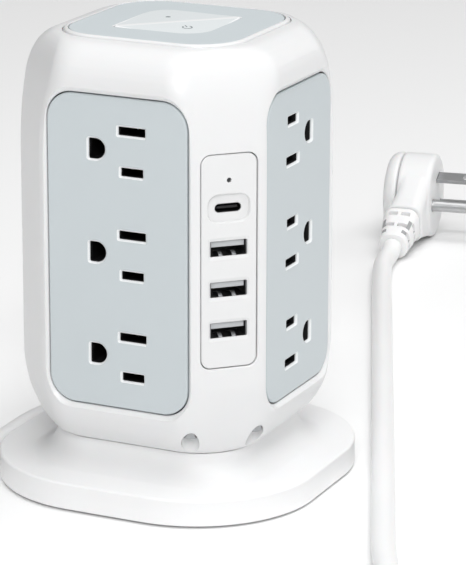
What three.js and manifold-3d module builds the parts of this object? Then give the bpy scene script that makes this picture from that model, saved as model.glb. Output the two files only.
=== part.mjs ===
// Tower power strip: a white octagonal housing with a grey outlet panel on each of
// its four faces, a USB strip on one corner, a rocker switch on top, a wide base
// plate, and a mains lead with a flat round plug. Millimetres, +Z up, origin at the
// centre of the underside.
import * as THREE from 'three';
import { mergeVertices } from 'three/addons/utils/BufferGeometryUtils.js';
import Module from 'manifold-3d';

const wasm = await Module();
wasm.setup();

// ---------------------------------------------------------------- driving sizes
const BASE_HALF = 53.0, BASE_R = 40.0, BASE_Z0 = 0.5, BASE_TOP = 9.1;
const PEDESTAL_HALF = 33.3, PEDESTAL_R = 17.8, PEDESTAL_TOP = 17.7, COVE = 8.6;
const BODY_Z0 = 18.0, BODY_Z1 = 145.7;
const FACE = 42.9;            // face plane of the housing from the axis
const CORNER = 48.4;          // corner plane of the housing from the axis
const EDGE_R = 8.0;           // rounding between a face and a corner
const FOOT_HALF = 33.5, FOOT_R = 18.0;      // housing outline at its bottom edge
const RIM_HALF = 31.1, RIM_R = 16.5;        // housing outline at its top edge
const WALL = 2.4;
const PANEL_W = 47.5, PANEL_H = 98.4, PANEL_R = 8.5, PANEL_PLANE = 42.0, PANEL_T = 2.4;
const OUTLET_Z = [114.3, 81.75, 49.2];      // mid height between the two blades
const BLADE_U = 5.0, BLADE_GAP = 12.7, GROUND_OFFSET = 11.9;
const SLOT_LONG = 9.3, SLOT_SHORT = 7.7, SLOT_H = 3.0;
const GROUND_W = 5.8, GROUND_H = 6.8;
const USB_PLANE = 48.1, USB_W = 17.8, USB_H = 67.0, USB_R = 3.0, USB_Z = 81.8;
const USB_A_Z = [86.0, 73.1, 60.2], USB_C_Z = 98.5, LED_Z = 107.3;
const BEZEL_HALF = 30.8, BEZEL_R = 16.2, PLATE_HALF = 28.9, PLATE_R = 14.3, PLATE_TOP = 146.4;
const ROCKER_HALF = 14.8, ROCKER_R = 8.0, PIVOT_Z = 142.8, ROCKER_REST_DEG = -3.0, ROCKER_CROWN = 146.6;
const CORD_D = 7.5, CORD_R = CORD_D / 2;
const COIL_C = [-64.1, 139.3], COIL_OUT = 47.5, COIL_IN = 40.0, COIL_LIFT = 0.9;
const COIL_EXIT_DEG = 255, COIL_ENTRY_DEG = 20;
const GLAND_Z = 28.4, GLAND_Y0 = 31.0, GLAND_LEN = 42.0, GLAND_TILT = 12.0;
const PLUG_R = 17.0, PLUG_C = [-36.9, 293.6, 17.2], PLUG_YAW = 10.22, PLUG_DROP = 16.0, PLUG_T = 19.0;
const RELIEF_END = 42.0;

const D2R = Math.PI / 180;
const group = new THREE.Group();

// ---------------------------------------------------------------- materials
const M = (color, roughness, metalness = 0) => new THREE.MeshStandardMaterial({ color, roughness, metalness });
const white = () => M(0xe9eaeb, 0.38), grey = () => M(0xc9d0d3, 0.45), lightGrey = () => M(0xdfe3e4, 0.4);
const steel = () => M(0x9a9da0, 0.35, 1), brass = () => M(0xb99a55, 0.35, 1), black = () => M(0x1d1e20, 0.6);
const rubber = () => M(0x3a3b3d, 0.85), cordWhite = () => M(0xededed, 0.5), green = () => M(0x2e5d3c, 0.55);
const blue = () => M(0x2f4f86, 0.5), clear = () => M(0xcfe3ea, 0.2);

// ---------------------------------------------------------------- solid helpers
function cleaned(geometry) {
  const g = geometry.clone();
  for (const k of Object.keys(g.attributes)) if (k !== 'position') g.deleteAttribute(k);
  return mergeVertices(g, 1e-4);
}
function solid(geometry) {
  const g = cleaned(geometry);
  const m = new wasm.Manifold(new wasm.Mesh({
    numProp: 3,
    vertProperties: Float32Array.from(g.attributes.position.array),
    triVerts: Uint32Array.from(g.index.array),
  }));
  return m;
}
function geom(manifold) {
  const mesh = manifold.getMesh();
  const g = new THREE.BufferGeometry();
  g.setAttribute('position', new THREE.BufferAttribute(Float32Array.from(mesh.vertProperties), 3));
  g.setIndex(new THREE.BufferAttribute(Uint32Array.from(mesh.triVerts), 1));
  g.computeVertexNormals();
  return g;
}
const union = (...s) => s.reduce((a, b) => a.add(b));
const minus = (a, ...s) => s.reduce((x, y) => x.subtract(y), a);

// Stack of rings with equal vertex counts, counter-clockwise seen from the last ring
// back to the first, closed with flat caps.
function loft(rings) {
  const n = rings[0].length, pos = [], idx = [];
  for (const r of rings) for (const p of r) pos.push(...p);
  for (let k = 0; k + 1 < rings.length; k++)
    for (let i = 0; i < n; i++) {
      const j = (i + 1) % n, a = k * n + i, b = k * n + j, c = a + n, d = b + n;
      idx.push(a, b, d, a, d, c);
    }
  const cap = (k, flip) => {
    const r = rings[k], c = [0, 1, 2].map((q) => r.reduce((s, p) => s + p[q], 0) / n);
    const m = pos.length / 3; pos.push(...c);
    for (let i = 0; i < n; i++) { const j = (i + 1) % n; idx.push(...(flip ? [m, k * n + j, k * n + i] : [m, k * n + i, k * n + j])); }
  };
  cap(0, true); cap(rings.length - 1, false);
  const g = new THREE.BufferGeometry();
  g.setAttribute('position', new THREE.Float32BufferAttribute(pos, 3));
  g.setIndex(idx);
  return g;
}
// Octagonal outline: four faces at distance P, four corners at distance Q, vertices
// rounded to radius r. A rounded square is the case where the corner faces vanish.
function octagon(P, Q, r, k = 5) {
  const pts = [];
  for (let f = 0; f < 8; f++) {
    const a1 = (f * 45 - 90) * D2R, a2 = a1 + 45 * D2R;
    const d1 = f % 2 ? Q : P, d2 = f % 2 ? P : Q;
    const n1 = [Math.cos(a1), Math.sin(a1)], n2 = [Math.cos(a2), Math.sin(a2)];
    const det = n1[0] * n2[1] - n1[1] * n2[0];
    const e1 = d1 - r, e2 = d2 - r;
    const cx = (e1 * n2[1] - e2 * n1[1]) / det, cy = (n1[0] * e2 - n2[0] * e1) / det;
    for (let i = 0; i <= k; i++) {
      const a = a1 + (a2 - a1) * i / k;
      pts.push([cx + r * Math.cos(a), cy + r * Math.sin(a)]);
    }
  }
  return pts;
}
const cornerOf = (h, r) => (h - r) * Math.SQRT2 + r;
const rsq = (h, r, k = 2) => octagon(h, cornerOf(h, r) - 0.002, r, k);
const atZ = (pts, z) => pts.map(([x, y]) => [x, y, z]);
function prism(pts, z0, z1) { return solid(loft([atZ(pts, z0), atZ(pts, z1)])); }
function roundRect(w, h, r, k = 3) {
  if (!k) return [[w / 2, h / 2], [-w / 2, h / 2], [-w / 2, -h / 2], [w / 2, -h / 2]];
  const p = [];
  for (let q = 0; q < 4; q++) {
    const cx = (q === 0 || q === 3 ? 1 : -1) * (w / 2 - r), cy = (q < 2 ? 1 : -1) * (h / 2 - r);
    for (let i = 0; i <= k; i++) { const a = (q * 90 + 90 * i / k) * D2R; p.push([cx + r * Math.cos(a), cy + r * Math.sin(a)]); }
  }
  return p;
}
const box = (x0, x1, y0, y1, z0, z1) => {
  const g = new THREE.BoxGeometry(x1 - x0, y1 - y0, z1 - z0);
  g.translate((x0 + x1) / 2, (y0 + y1) / 2, (z0 + z1) / 2);
  return solid(g);
};
const cylZ = (x, y, r, z0, z1, seg = 20) => {
  const g = new THREE.CylinderGeometry(r, r, z1 - z0, seg);
  g.rotateX(Math.PI / 2); g.translate(x, y, (z0 + z1) / 2);
  return solid(g);
};
// A solid given in face coordinates (u to the right seen from outside, v up, w outwards)
// is placed on face k, which is turned k quarter turns from the front (-Y) face.
function faceMatrix(angleDeg) {
  const a = angleDeg * D2R;
  const u = new THREE.Vector3(Math.cos(a), Math.sin(a), 0), w = new THREE.Vector3(Math.sin(a), -Math.cos(a), 0);
  return new THREE.Matrix4().makeBasis(u, new THREE.Vector3(0, 0, 1), w);
}
function placed(g, matrix) { const h = g.clone(); h.applyMatrix4(matrix); return h; }
// u, v, w box in face coordinates
const fbox = (u0, u1, v0, v1, w0, w1) => box(u0, u1, v0, v1, w0, w1);
const fprism = (pts, w0, w1) => solid(loft([atZ(pts, w0), atZ(pts, w1)]));

function add(name, geometry, material, parent = group) {
  const g = geometry.index ? geometry : mergeVertices(geometry);
  const mesh = new THREE.Mesh(g, material);
  mesh.name = name;
  parent.add(mesh);
  return mesh;
}

// ---------------------------------------------------------------- housing profile
const arc = (s, n) => 1 - Math.pow(Math.max(0, 1 - Math.pow(Math.min(1, Math.max(0, s)), n)), 1 / n);
const Q_FOOT = cornerOf(FOOT_HALF, FOOT_R), Q_RIM = cornerOf(RIM_HALF, RIM_R);
function outline(z, inset = 0, k = 5) {
  let P = FACE, Q = CORNER, r = EDGE_R;
  if (z > 108) {
    const sp = (z - 131.6) / (BODY_Z1 - 131.6), sq = (z - 108) / (BODY_Z1 - 108);
    P = FACE - (FACE - RIM_HALF) * arc(sp, 2.0);
    Q = CORNER - (CORNER - Q_RIM) * arc(sq, 2.0);
    r = EDGE_R + (RIM_R - EDGE_R) * arc(sq, 1.6);
  } else if (z < 42) {
    const sp = (31.6 - z) / (31.6 - BODY_Z0), sq = (42 - z) / (42 - BODY_Z0);
    P = FACE - (FACE - FOOT_HALF) * arc(sp, 1.45);
    Q = CORNER - (CORNER - Q_FOOT) * arc(sq, 1.5);
    r = EDGE_R + (FOOT_R - EDGE_R) * arc(sq, 1.3);
  }
  P -= inset; Q -= inset; r = Math.max(1.2, r - inset);
  // the rounding may not be longer than the flats that it joins
  const xv = Q * Math.SQRT2 - P, half = (P - xv) / Math.SQRT2;
  r = Math.min(r, Math.max(0.5, (half - 0.001) / Math.tan(22.5 * D2R)), Math.max(0.5, (xv - 0.001) / Math.tan(22.5 * D2R)));
  return octagon(P, Q, r, k);
}
function bodySolid(inset, zs, k = 5) { return solid(loft(zs.map((z) => atZ(outline(Math.min(BODY_Z1, Math.max(BODY_Z0, z)), inset, k), z)))); }
const outerZ = [BODY_Z0, 20, 23.5, 27.5, 31.6, 42, 108, 120, 129, 133.4, 138, 141.8, 144.4, BODY_Z1];
const innerZ = [BODY_Z0 - 1, BODY_Z0, 22, 30, 43, 107, 129, 138, 143.4];

// ---------------------------------------------------------------- base
{
  const rings = [
    [BASE_HALF - 0.7, BASE_R - 0.7, BASE_Z0], [BASE_HALF, BASE_R, BASE_Z0 + 0.7], [BASE_HALF, BASE_R, BASE_TOP - 0.7],
    [BASE_HALF - 0.25, BASE_R - 0.25, BASE_TOP - 0.25], [BASE_HALF - 0.8, BASE_R - 0.8, BASE_TOP],
  ];
  for (let i = 0; i <= 4; i++) {
    const a = (90 * i / 4) * D2R;              // coved pedestal under the housing
    const d = COVE * (1 - Math.sin(a));
    rings.push([PEDESTAL_HALF + d, PEDESTAL_R + d, BASE_TOP + 0.001 + (PEDESTAL_TOP - BASE_TOP) * (1 - Math.cos(a))]);
  }
  const outer = solid(loft(rings.map(([h, r, z]) => atZ(rsq(h, r, 2), z))));
  let cavity = prism(rsq(49.6, 36.6, 2), -1, 6.6);
  cavity = union(cavity, prism(rsq(29.5, 14.0, 2), 6.0, 15.2));
  let plate = minus(outer, cavity);
  for (const [sx, sy] of [[1, 1], [1, -1], [-1, 1], [-1, -1]]) {
    plate = union(plate, cylZ(sx * 33.4, sy * 33.4, 7.2, 1.6, 6.9, 16));           // foot boss
    plate = minus(plate, cylZ(sx * 20, sy * 20, 1.8, 10, 20, 12));             // screw hole
  }
  add('base_plate', geom(plate), white());
  [[33.4, -33.4], [33.4, 33.4], [-33.4, 33.4], [-33.4, -33.4]].forEach(([x, y], i) => {
    const foot = new THREE.LatheGeometry([[0, 0], [5.4, 0], [6.0, 0.5], [6.0, 1.3], [0, 1.3]].map(([r, z]) => new THREE.Vector2(r, z)), 16);
    foot.rotateX(Math.PI / 2);
    add(`foot_${i + 1}`, geom(solid(foot)), rubber()).position.set(x, y, 0);
  });
  [[20, -20], [20, 20], [-20, 20], [-20, -20]].forEach(([x, y], i) => {
    let s = union(cylZ(0, 0, 3.4, 12.4, 14.9, 12), cylZ(0, 0, 1.45, 14.5, 24.0, 8));
    s = minus(s, box(-0.4, 0.4, -2.2, 2.2, 12, 13.4), box(-2.2, 2.2, -0.4, 0.4, 12, 13.4));
    add(`base_screw_${i + 1}`, geom(s), steel()).position.set(x, y, 0);
  });
}

// ---------------------------------------------------------------- housing
const recess = [[22.4, -37.3], [37.3, -22.4], [-22.4, 37.3], [-37.3, 22.4]];
{
  const outer = bodySolid(0, outerZ, 2);
  let shell = minus(outer, bodySolid(WALL, innerZ, 1));
  shell = minus(shell, prism(rsq(BEZEL_HALF, BEZEL_R, 2), 143.2, 150));
  // bosses for the four upright screws at the bottom edge
  for (const [x, y] of recess) {
    const boss = cylZ(x, y, 4.6, BODY_Z0, 33, 12).intersect(outer);
    shell = union(shell, boss);
  }
  for (const [x, y] of recess) shell = minus(shell, cylZ(x, y, 2.8, 10, 27.2, 16), cylZ(x, y, 1.3, 20, 32.2, 8));
  // openings for the four outlet panels, bevelled outwards, and for the USB panel
  for (let k = 0; k < 4; k++) {
    const w0 = PANEL_W / 2 + 0.3, h0 = PANEL_H / 2 + 0.3;
    const ring = (grow) => roundRect(2 * (w0 + grow), 2 * (h0 + grow), PANEL_R + 0.3 + grow, 3);
    const g = loft([atZ(ring(0), 34), atZ(ring(0), PANEL_PLANE - 0.15), atZ(ring(1.35), FACE + 0.02), atZ(ring(1.35), FACE + 4)]);
    g.translate(0, USB_Z - 0.05, 0);
    shell = minus(shell, solid(placed(g, faceMatrix(90 * k))));
  }
  {
    const ring = (grow) => roundRect(USB_W + 0.6 + 2 * grow, USB_H + 0.6 + 2 * grow, USB_R + 0.3 + grow, 2);
    const g = loft([atZ(ring(0), 40), atZ(ring(0), CORNER - 0.3), atZ(ring(0.35), CORNER + 0.02), atZ(ring(0.35), CORNER + 3)]);
    g.translate(0, USB_Z, 0);
    shell = minus(shell, solid(placed(g, faceMatrix(45))));
  }
  // hole for the cord gland in the lower back
  const hole = new THREE.CylinderGeometry(6.4, 6.4, 40, 18);
  hole.translate(0, 22, 0); hole.rotateX(-GLAND_TILT * D2R); hole.translate(0, GLAND_Y0, GLAND_Z);
  shell = minus(shell, solid(hole));
  add('housing_shell', geom(shell), white());

  let cover = prism(octagon(29.6, 35.6, 15.0, 3), BODY_Z0, BODY_Z0 + 2.4);
  for (const [sx, sy] of [[1, 1], [1, -1], [-1, 1], [-1, -1]]) cover = union(cover, cylZ(sx * 20, sy * 20, 3.2, BODY_Z0, 26, 12));
  for (const [x, y] of recess) cover = minus(cover, cylZ(x, y, 5.2, 10, 30, 12));
  for (const [sx, sy] of [[1, 1], [1, -1], [-1, 1], [-1, -1]]) cover = minus(cover, cylZ(sx * 20, sy * 20, 1.75, 10, 25, 12));
  add('bottom_cover', geom(cover), white());

  recess.forEach(([x, y], i) => {
    let s = union(cylZ(0, 0, 2.45, 25.0, 26.9, 12), cylZ(0, 0, 1.0, 26.5, 31.6, 8));
    s = minus(s, box(-0.35, 0.35, -1.7, 1.7, 24.5, 25.9), box(-1.7, 1.7, -0.35, 0.35, 24.5, 25.9));
    add(`housing_screw_${i + 1}`, geom(s), steel()).position.set(x, y, 0);
  });
}

// ---------------------------------------------------------------- outlet panels
// Sides alternate: on the front and back the ground hole is on the left, on the
// other two faces the whole panel is turned half a turn.
const FACES = ['front', 'right', 'back', 'left'];
function slotCutter(w, h, r) {
  const ring = (grow) => roundRect(w + 2 * grow, h + 2 * grow, r, 0);
  return loft([atZ(ring(0), 30), atZ(ring(0), PANEL_PLANE - 0.7), atZ(ring(0.45), PANEL_PLANE + 0.01), atZ(ring(0.45), PANEL_PLANE + 2)]);
}
function groundCutter() {
  const ring = (grow) => {
    const w = GROUND_W / 2 + grow, h = GROUND_H / 2 + grow, p = [];
    p.push([-w, h], [-w, -h]);
    for (let i = 0; i <= 4; i++) { const a = (-90 + 180 * i / 4) * D2R; p.push([w - h + h * Math.cos(a), h * Math.sin(a)]); }
    return p;
  };
  return loft([atZ(ring(0), 30), atZ(ring(0), PANEL_PLANE - 0.7), atZ(ring(0.45), PANEL_PLANE + 0.01), atZ(ring(0.45), PANEL_PLANE + 2)]);
}
for (let k = 0; k < 4; k++) {
  const turn = k % 2 ? -1 : 1;                       // half a turn in the face plane
  const ring = (grow) => roundRect(PANEL_W + 2 * grow, PANEL_H + 2 * grow, PANEL_R + grow, 3);
  const g = loft([atZ(ring(0), PANEL_PLANE - PANEL_T), atZ(ring(0), PANEL_PLANE - 0.35), atZ(ring(-0.35), PANEL_PLANE)]);
  g.translate(0, USB_Z - 0.05, 0);
  let panel = solid(g);
  const cutAt = (c, u, v) => { const q = c.clone(); if (turn < 0) q.rotateZ(Math.PI); q.translate(turn * u, v, 0); panel = minus(panel, solid(q)); };
  for (const z of OUTLET_Z) {
    cutAt(slotCutter(SLOT_LONG, SLOT_H, 0.3), BLADE_U, z + turn * BLADE_GAP / 2);
    cutAt(slotCutter(SLOT_SHORT, SLOT_H, 0.3), BLADE_U, z - turn * BLADE_GAP / 2);
    cutAt(groundCutter(), BLADE_U - GROUND_OFFSET, z);
  }
  const m = faceMatrix(90 * k);
  add(`outlet_panel_${FACES[k]}`, placed(geom(panel), m), grey());

  // moulded carrier behind the panel with a pocket for each contact
  let block = fbox(-14.5, 14.5, 36, 127.5, 27.5, PANEL_PLANE - PANEL_T - 0.3);
  for (const z of OUTLET_Z) {
    const pocket = (u, v, w, h) => { block = minus(block, fbox(turn * u - w / 2, turn * u + w / 2, v - h / 2, v + h / 2, 20, 45)); };
    pocket(BLADE_U, z + turn * BLADE_GAP / 2, 10.6, 5.6);
    pocket(BLADE_U, z - turn * BLADE_GAP / 2, 10.6, 5.6);
    pocket(BLADE_U - GROUND_OFFSET, z, 8.4, 8.6);
  }
  add(`contact_carrier_${FACES[k]}`, placed(geom(block), m), black());
}

// ---------------------------------------------------------------- bus bars
// One bar for each pole: an upright strip with a pair of spring leaves behind every
// hole on each face, all joined by a ring around the middle.
function bus(name, stripU, leafU, vOff, gapHalf, ringZ) {
  let s = null;
  for (let k = 0; k < 4; k++) {
    const turn = k % 2 ? -1 : 1, m = faceMatrix(90 * k);
    const put = (u0, u1, v0, v1, w0, w1) => {
      const a = turn * u0, b = turn * u1;
      const g = new THREE.BoxGeometry(Math.abs(b - a), v1 - v0, w1 - w0);
      g.translate((a + b) / 2, (v0 + v1) / 2, (w0 + w1) / 2);
      const q = solid(placed(g, m)); s = s ? union(s, q) : q;
    };
    put(stripU[0], stripU[1], 40, 124, 24, 24.9);
    put(stripU[0], stripU[1], ringZ, ringZ + 3, 19.8, 24.4);
    for (const z of OUTLET_Z) {
      const v = z + turn * vOff;
      put(leafU[0], leafU[1], v + gapHalf, v + gapHalf + 0.8, 24.2, 37.6);
    }
    const bar = new THREE.BoxGeometry(40.8, 3, 0.8); bar.translate(0, ringZ + 1.5, 20.0);
    s = union(s, solid(placed(bar, m)));
  }
  add(name, geom(s), brass());
}
bus('neutral_bus', [6.5, 10.2], [3.4, 9.4], BLADE_GAP / 2, 1.2, 102);
bus('line_bus', [-1.0, 3.0], [0.6, 6.2], -BLADE_GAP / 2, 1.2, 93);
bus('ground_bus', [-9.4, -4.4], [-9.0, -4.8], 0, 2.9, 66);

// ---------------------------------------------------------------- USB strip
{
  const m = faceMatrix(45);
  const ring = (grow) => roundRect(USB_W + 2 * grow, USB_H + 2 * grow, USB_R + grow, 2);
  const g = loft([atZ(ring(0), USB_PLANE - 2.2), atZ(ring(0), USB_PLANE - 0.3), atZ(ring(-0.3), USB_PLANE)]);
  g.translate(0, USB_Z, 0);
  let panel = solid(g);
  const cut = (w, h, r, z, grow = 0.4, depth = 0.5) => {
    const rr = (d) => roundRect(w + 2 * d, h + 2 * d, r + d * 0.6, 1);
    const c = loft([atZ(rr(0), 40), atZ(rr(0), USB_PLANE - depth), atZ(rr(grow), USB_PLANE + 0.01), atZ(rr(grow), USB_PLANE + 2)]);
    c.translate(0, z, 0); return solid(c);
  };
  for (const z of USB_A_Z) panel = minus(panel, cut(12.5, 6.2, 0.5, z));
  // USB-C sits at the bottom of a shallow rounded recess
  {
    const rr = (w, h, r) => roundRect(w, h, r, 3);
    const c = loft([atZ(rr(12.6, 8.0, 3.2), USB_PLANE - 1.2), atZ(rr(13.8, 9.2, 3.8), USB_PLANE + 0.01), atZ(rr(13.8, 9.2, 3.8), USB_PLANE + 2)]);
    c.translate(0, USB_C_Z, 0); panel = minus(panel, solid(c));
    const s = loft([atZ(rr(9.7, 4.0, 1.9), 40), atZ(rr(9.7, 4.0, 1.9), USB_PLANE + 2)]);
    s.translate(0, USB_C_Z, 0); panel = minus(panel, solid(s));
  }
  {
    const c = new THREE.CylinderGeometry(0.75, 0.75, 10, 14); c.rotateX(Math.PI / 2); c.translate(0, LED_Z, USB_PLANE);
    panel = minus(panel, solid(c));
  }
  add('usb_panel', placed(geom(panel), m), white());
  const pipe = new THREE.CylinderGeometry(0.45, 0.45, 14.6, 12); pipe.rotateX(Math.PI / 2); pipe.translate(0, LED_Z, USB_PLANE - 0.4 - 7.3);
  add('led_light_pipe', placed(pipe, m), clear());
  USB_A_Z.forEach((z, i) => {
    const shell = minus(fprism(roundRect(12.0, 5.7, 0.5, 1), 33.6, USB_PLANE - 0.6), fprism(roundRect(11.3, 5.0, 0.3, 0), 34.3, USB_PLANE + 1));
    const a = geom(shell); a.translate(0, z, 0);
    add(`usb_a_shell_${i + 1}`, placed(a, m), steel());
    let tongue = union(fbox(-5.3, 5.3, 0.3, 2.1, 34.7, USB_PLANE - 1.6));
    const b = geom(tongue); b.translate(0, z, 0);
    add(`usb_a_tongue_${i + 1}`, placed(b, m), lightGrey());
  });
  {
    const shell = minus(fprism(roundRect(8.9, 3.2, 1.55, 3), 33.6, USB_PLANE - 1.3), fprism(roundRect(8.3, 2.6, 1.25, 3), 34.3, USB_PLANE + 1));
    const a = geom(shell); a.translate(0, USB_C_Z, 0);
    add('usb_c_shell', placed(a, m), steel());
    const b = geom(fbox(-3.3, 3.3, -0.35, 0.35, 34.7, USB_PLANE - 2.2)); b.translate(0, USB_C_Z, 0);
    add('usb_c_tongue', placed(b, m), black());
  }
  const board = geom(fbox(-8.2, 8.2, 48, 114, 30.4, 32.0));
  add('usb_board', placed(board, m), green());
}

// ---------------------------------------------------------------- supply board
{
  add('surge_board', geom(box(-17, 17, -0.8, 0.8, 36, 90)), green());
  [-9, 3].forEach((x, i) => {
    const d = new THREE.CylinderGeometry(5, 5, 4, 20); d.translate(x, -3.1, 78);
    add(`varistor_${i + 1}`, d, blue());
  });
}

// ---------------------------------------------------------------- top plate and switch
// The rocker is a square with two rounded corners that turns about its diagonal.
const rockerRing = (grow, k = 3) => {
  const h = ROCKER_HALF + grow, r1 = ROCKER_R + grow, r0 = 0.8 + Math.max(0, grow), p = [];
  const corner = (sx, sy, r, a0) => { for (let i = 0; i <= k; i++) { const a = (a0 + 90 * i / k) * D2R; p.push([sx * (h - r) + r * Math.cos(a), sy * (h - r) + r * Math.sin(a)]); } };
  corner(1, 1, r0, 0); corner(-1, 1, r1, 90); corner(-1, -1, r0, 180); corner(1, -1, r1, 270);
  return p;
};
{
  const bez = minus(
    solid(loft([[BEZEL_HALF - 0.3, BEZEL_R - 0.3, 143.5], [BEZEL_HALF - 0.3, BEZEL_R - 0.3, 145.2], [BEZEL_HALF - 0.55, BEZEL_R - 0.55, 145.75], [PLATE_HALF + 0.6, PLATE_R + 0.6, 146.4], [PLATE_HALF + 0.3, PLATE_R + 0.3, 146.5]].map(([h, r, z]) => atZ(rsq(h, r, 2), z)))),
    prism(rsq(PLATE_HALF + 0.02, PLATE_R + 0.02, 2), 144.3, 150), prism(rsq(26.0, 11.5, 2), 140, 150));
  add('top_bezel', geom(bez), white());
  const top = minus(solid(loft([[PLATE_HALF - 0.3, PLATE_R - 0.3, 144.6], [PLATE_HALF - 0.3, PLATE_R - 0.3, PLATE_TOP - 0.2], [PLATE_HALF - 0.5, PLATE_R - 0.5, PLATE_TOP]].map(([h, r, z]) => atZ(rsq(h, r, 2), z)))),
    solid(loft([atZ(rockerRing(0.5), 140), atZ(rockerRing(0.5), 150)])));
  add('top_plate', geom(top), grey());
}
{
  // rocker in its own frame: pivot at the origin, diagonal along X, front half on -Y
  const toPivot = (p, z) => { const c = Math.SQRT1_2; return p.map(([x, y]) => [(x + y) * c, (y - x) * c, z]); };
  const rel = (z) => z - PIVOT_Z;
  const shifted = (g, x, y, z) => { g.translate(x, y, z); return g; };
  const pole = (r, z0, z1, seg = 16) => { const g = new THREE.CylinderGeometry(r, r, z1 - z0, seg); g.rotateX(Math.PI / 2); return solid(shifted(g, 0, 0, (z0 + z1) / 2)); };
  const rod = (r, len, seg = 16) => { const g = new THREE.CylinderGeometry(r, r, len, seg); g.rotateZ(Math.PI / 2); return solid(g); };
  let r = solid(loft([toPivot(rockerRing(-1.2), rel(143.2)), toPivot(rockerRing(-0.15), rel(145.2)), toPivot(rockerRing(0), rel(145.8)), toPivot(rockerRing(0), rel(149.4))]));
  r = minus(r, solid(loft([toPivot(rockerRing(-3.4), rel(142)), toPivot(rockerRing(-2.6), rel(145.0))])));
  for (const s of [1, -1]) r = union(r, box(s > 0 ? 7.0 : -9.5, s > 0 ? 9.5 : -7.0, -2.6, 2.6, -2.4, 2.6));
  r = union(r, pole(3.4, -4.6, 2.6));
  // crown: two planes falling away from the diagonal
  for (const s of [1, -1]) {
    const c = new THREE.BoxGeometry(60, 46, 10);
    c.translate(0, s * 17, 5); c.rotateX(-s * 2.0 * D2R); c.translate(0, 0, rel(ROCKER_CROWN));
    r = minus(r, solid(c));
  }
  r = minus(r, rod(1.45, 28.0), pole(2.0, -6.0, -2.2));
  const holder = new THREE.Group();
  holder.position.set(0, 0, PIVOT_Z); holder.rotation.z = 45 * D2R;
  const tilt = new THREE.Group(); tilt.rotation.x = -ROCKER_REST_DEG * D2R; holder.add(tilt); group.add(holder);
  add('rocker', geom(r), lightGrey(), tilt);
  const tip = new THREE.SphereGeometry(1.7, 12, 6); tip.rotateX(Math.PI / 2); tip.translate(0, 0, -11.2);
  add('rocker_plunger', geom(union(pole(1.7, -11.2, -2.5, 12), solid(tip))), brass(), tilt);

  // axle, lying in the two open cradles of the switch body
  const axle = new THREE.CylinderGeometry(1.15, 1.15, 27.0, 14); axle.rotateZ(Math.PI / 2);
  add('rocker_axle', axle, steel(), holder);

  // switch body: an open box under the rocker, with cradles for the axle
  let sw = box(-15.5, 15.5, -10, 10, 116 - PIVOT_Z, 133.0 - PIVOT_Z);
  sw = minus(sw, box(-13.0, 13.0, -8, 8, 118 - PIVOT_Z, 140 - PIVOT_Z));
  for (const s of [1, -1]) sw = union(sw, box(s > 0 ? 11.4 : -13.4, s > 0 ? 13.4 : -11.4, -3, 3, 128 - PIVOT_Z, 0.4));
  sw = minus(sw, rod(1.45, 27.6));
  add('switch_body', geom(sw), black(), holder);

  // tilting contact lever, which turns the opposite way to the rocker
  const lever = new THREE.Group(); lever.position.set(0, 0, 127.6 - PIVOT_Z); lever.rotation.x = -2.4 * D2R; holder.add(lever);
  const lv = union(box(-3.4, 3.4, -6.2, 6.2, 0.6, 1.6), box(-2.4, 2.4, -6.2, -4.6, 0.6, 2.8), box(-2.4, 2.4, 4.6, 6.2, 0.6, 2.8), rod(1.1, 6.8, 14), box(-3.4, 3.4, -0.9, 0.9, 0, 1.2));
  add('contact_lever', geom(lv), brass(), lever);
}

// ---------------------------------------------------------------- mains lead
const V = (x, y, z) => new THREE.Vector3(x, y, z);
const section = (r, n = 10) => { const s = new THREE.Shape(); for (let i = 0; i < n; i++) { const a = 2 * Math.PI * (i + 0.5) / n; const x = r * Math.cos(a), y = r * Math.sin(a); i ? s.lineTo(x, y) : s.moveTo(x, y); } s.closePath(); return s; };
const tube = (points, r, steps, n = 8) => new THREE.ExtrudeGeometry(section(r, n), { steps, bevelEnabled: false, extrudePath: new THREE.CatmullRomCurve3(points, false, 'centripetal') });

const tiltG = GLAND_TILT * D2R;
{
  // tapered strain relief with a flange inside the wall
  const prof = [[0, 0], [7.3, 0], [7.3, 2.0], [5.9, 2.0], [5.9, 12.0], [7.0, 12.4], [6.7, 15.0]];
  for (let i = 0; i < 3; i++) {
    const z = 15.6 + i * 8.2, r = 6.3 - i * 0.4;
    prof.push([r, z], [r - 0.1, z + 5.4], [r - 0.85, z + 5.5], [r - 0.9, z + 8.1]);
  }
  prof.push([4.95, 40.2], [4.8, GLAND_LEN], [0, GLAND_LEN]);
  const g = new THREE.LatheGeometry(prof.map(([r, z]) => new THREE.Vector2(r, z)), 12);
  g.rotateX(-tiltG);
  g.translate(0, GLAND_Y0, GLAND_Z);
  add('cord_gland', geom(solid(g)), cordWhite());
}
// Route of the lead as a chain of straight runs and flat arcs, turned to a list of
// points [x, y]; heading in degrees from +X, arcs as [radius, turn], runs as a length.
function chain(x, y, heading, parts, step) {
  const out = [[x, y]]; let h = heading * D2R;
  for (const p of parts) {
    if (Array.isArray(p)) {
      const [R, deg] = p, n = Math.max(1, Math.ceil(Math.abs(deg) * D2R * R / step)), s = Math.sign(deg);
      const cx = x - s * R * Math.sin(h), cy = y + s * R * Math.cos(h), h0 = h;
      for (let i = 1; i <= n; i++) { const a = h0 + deg * D2R * i / n; out.push([cx + s * R * Math.sin(a), cy - s * R * Math.cos(a)]); }
      h = h0 + deg * D2R;
    } else {
      const n = Math.max(1, Math.ceil(p / step)), x0 = x, y0 = y;
      for (let i = 1; i <= n; i++) out.push([x0 + Math.cos(h) * p * i / n, y0 + Math.sin(h) * p * i / n]);
    }
    [x, y] = out[out.length - 1];
  }
  return out;
}
const LOW_Z = CORD_R + 0.1, TOP_Z = COIL_LIFT + CORD_D * 2.5;
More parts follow.
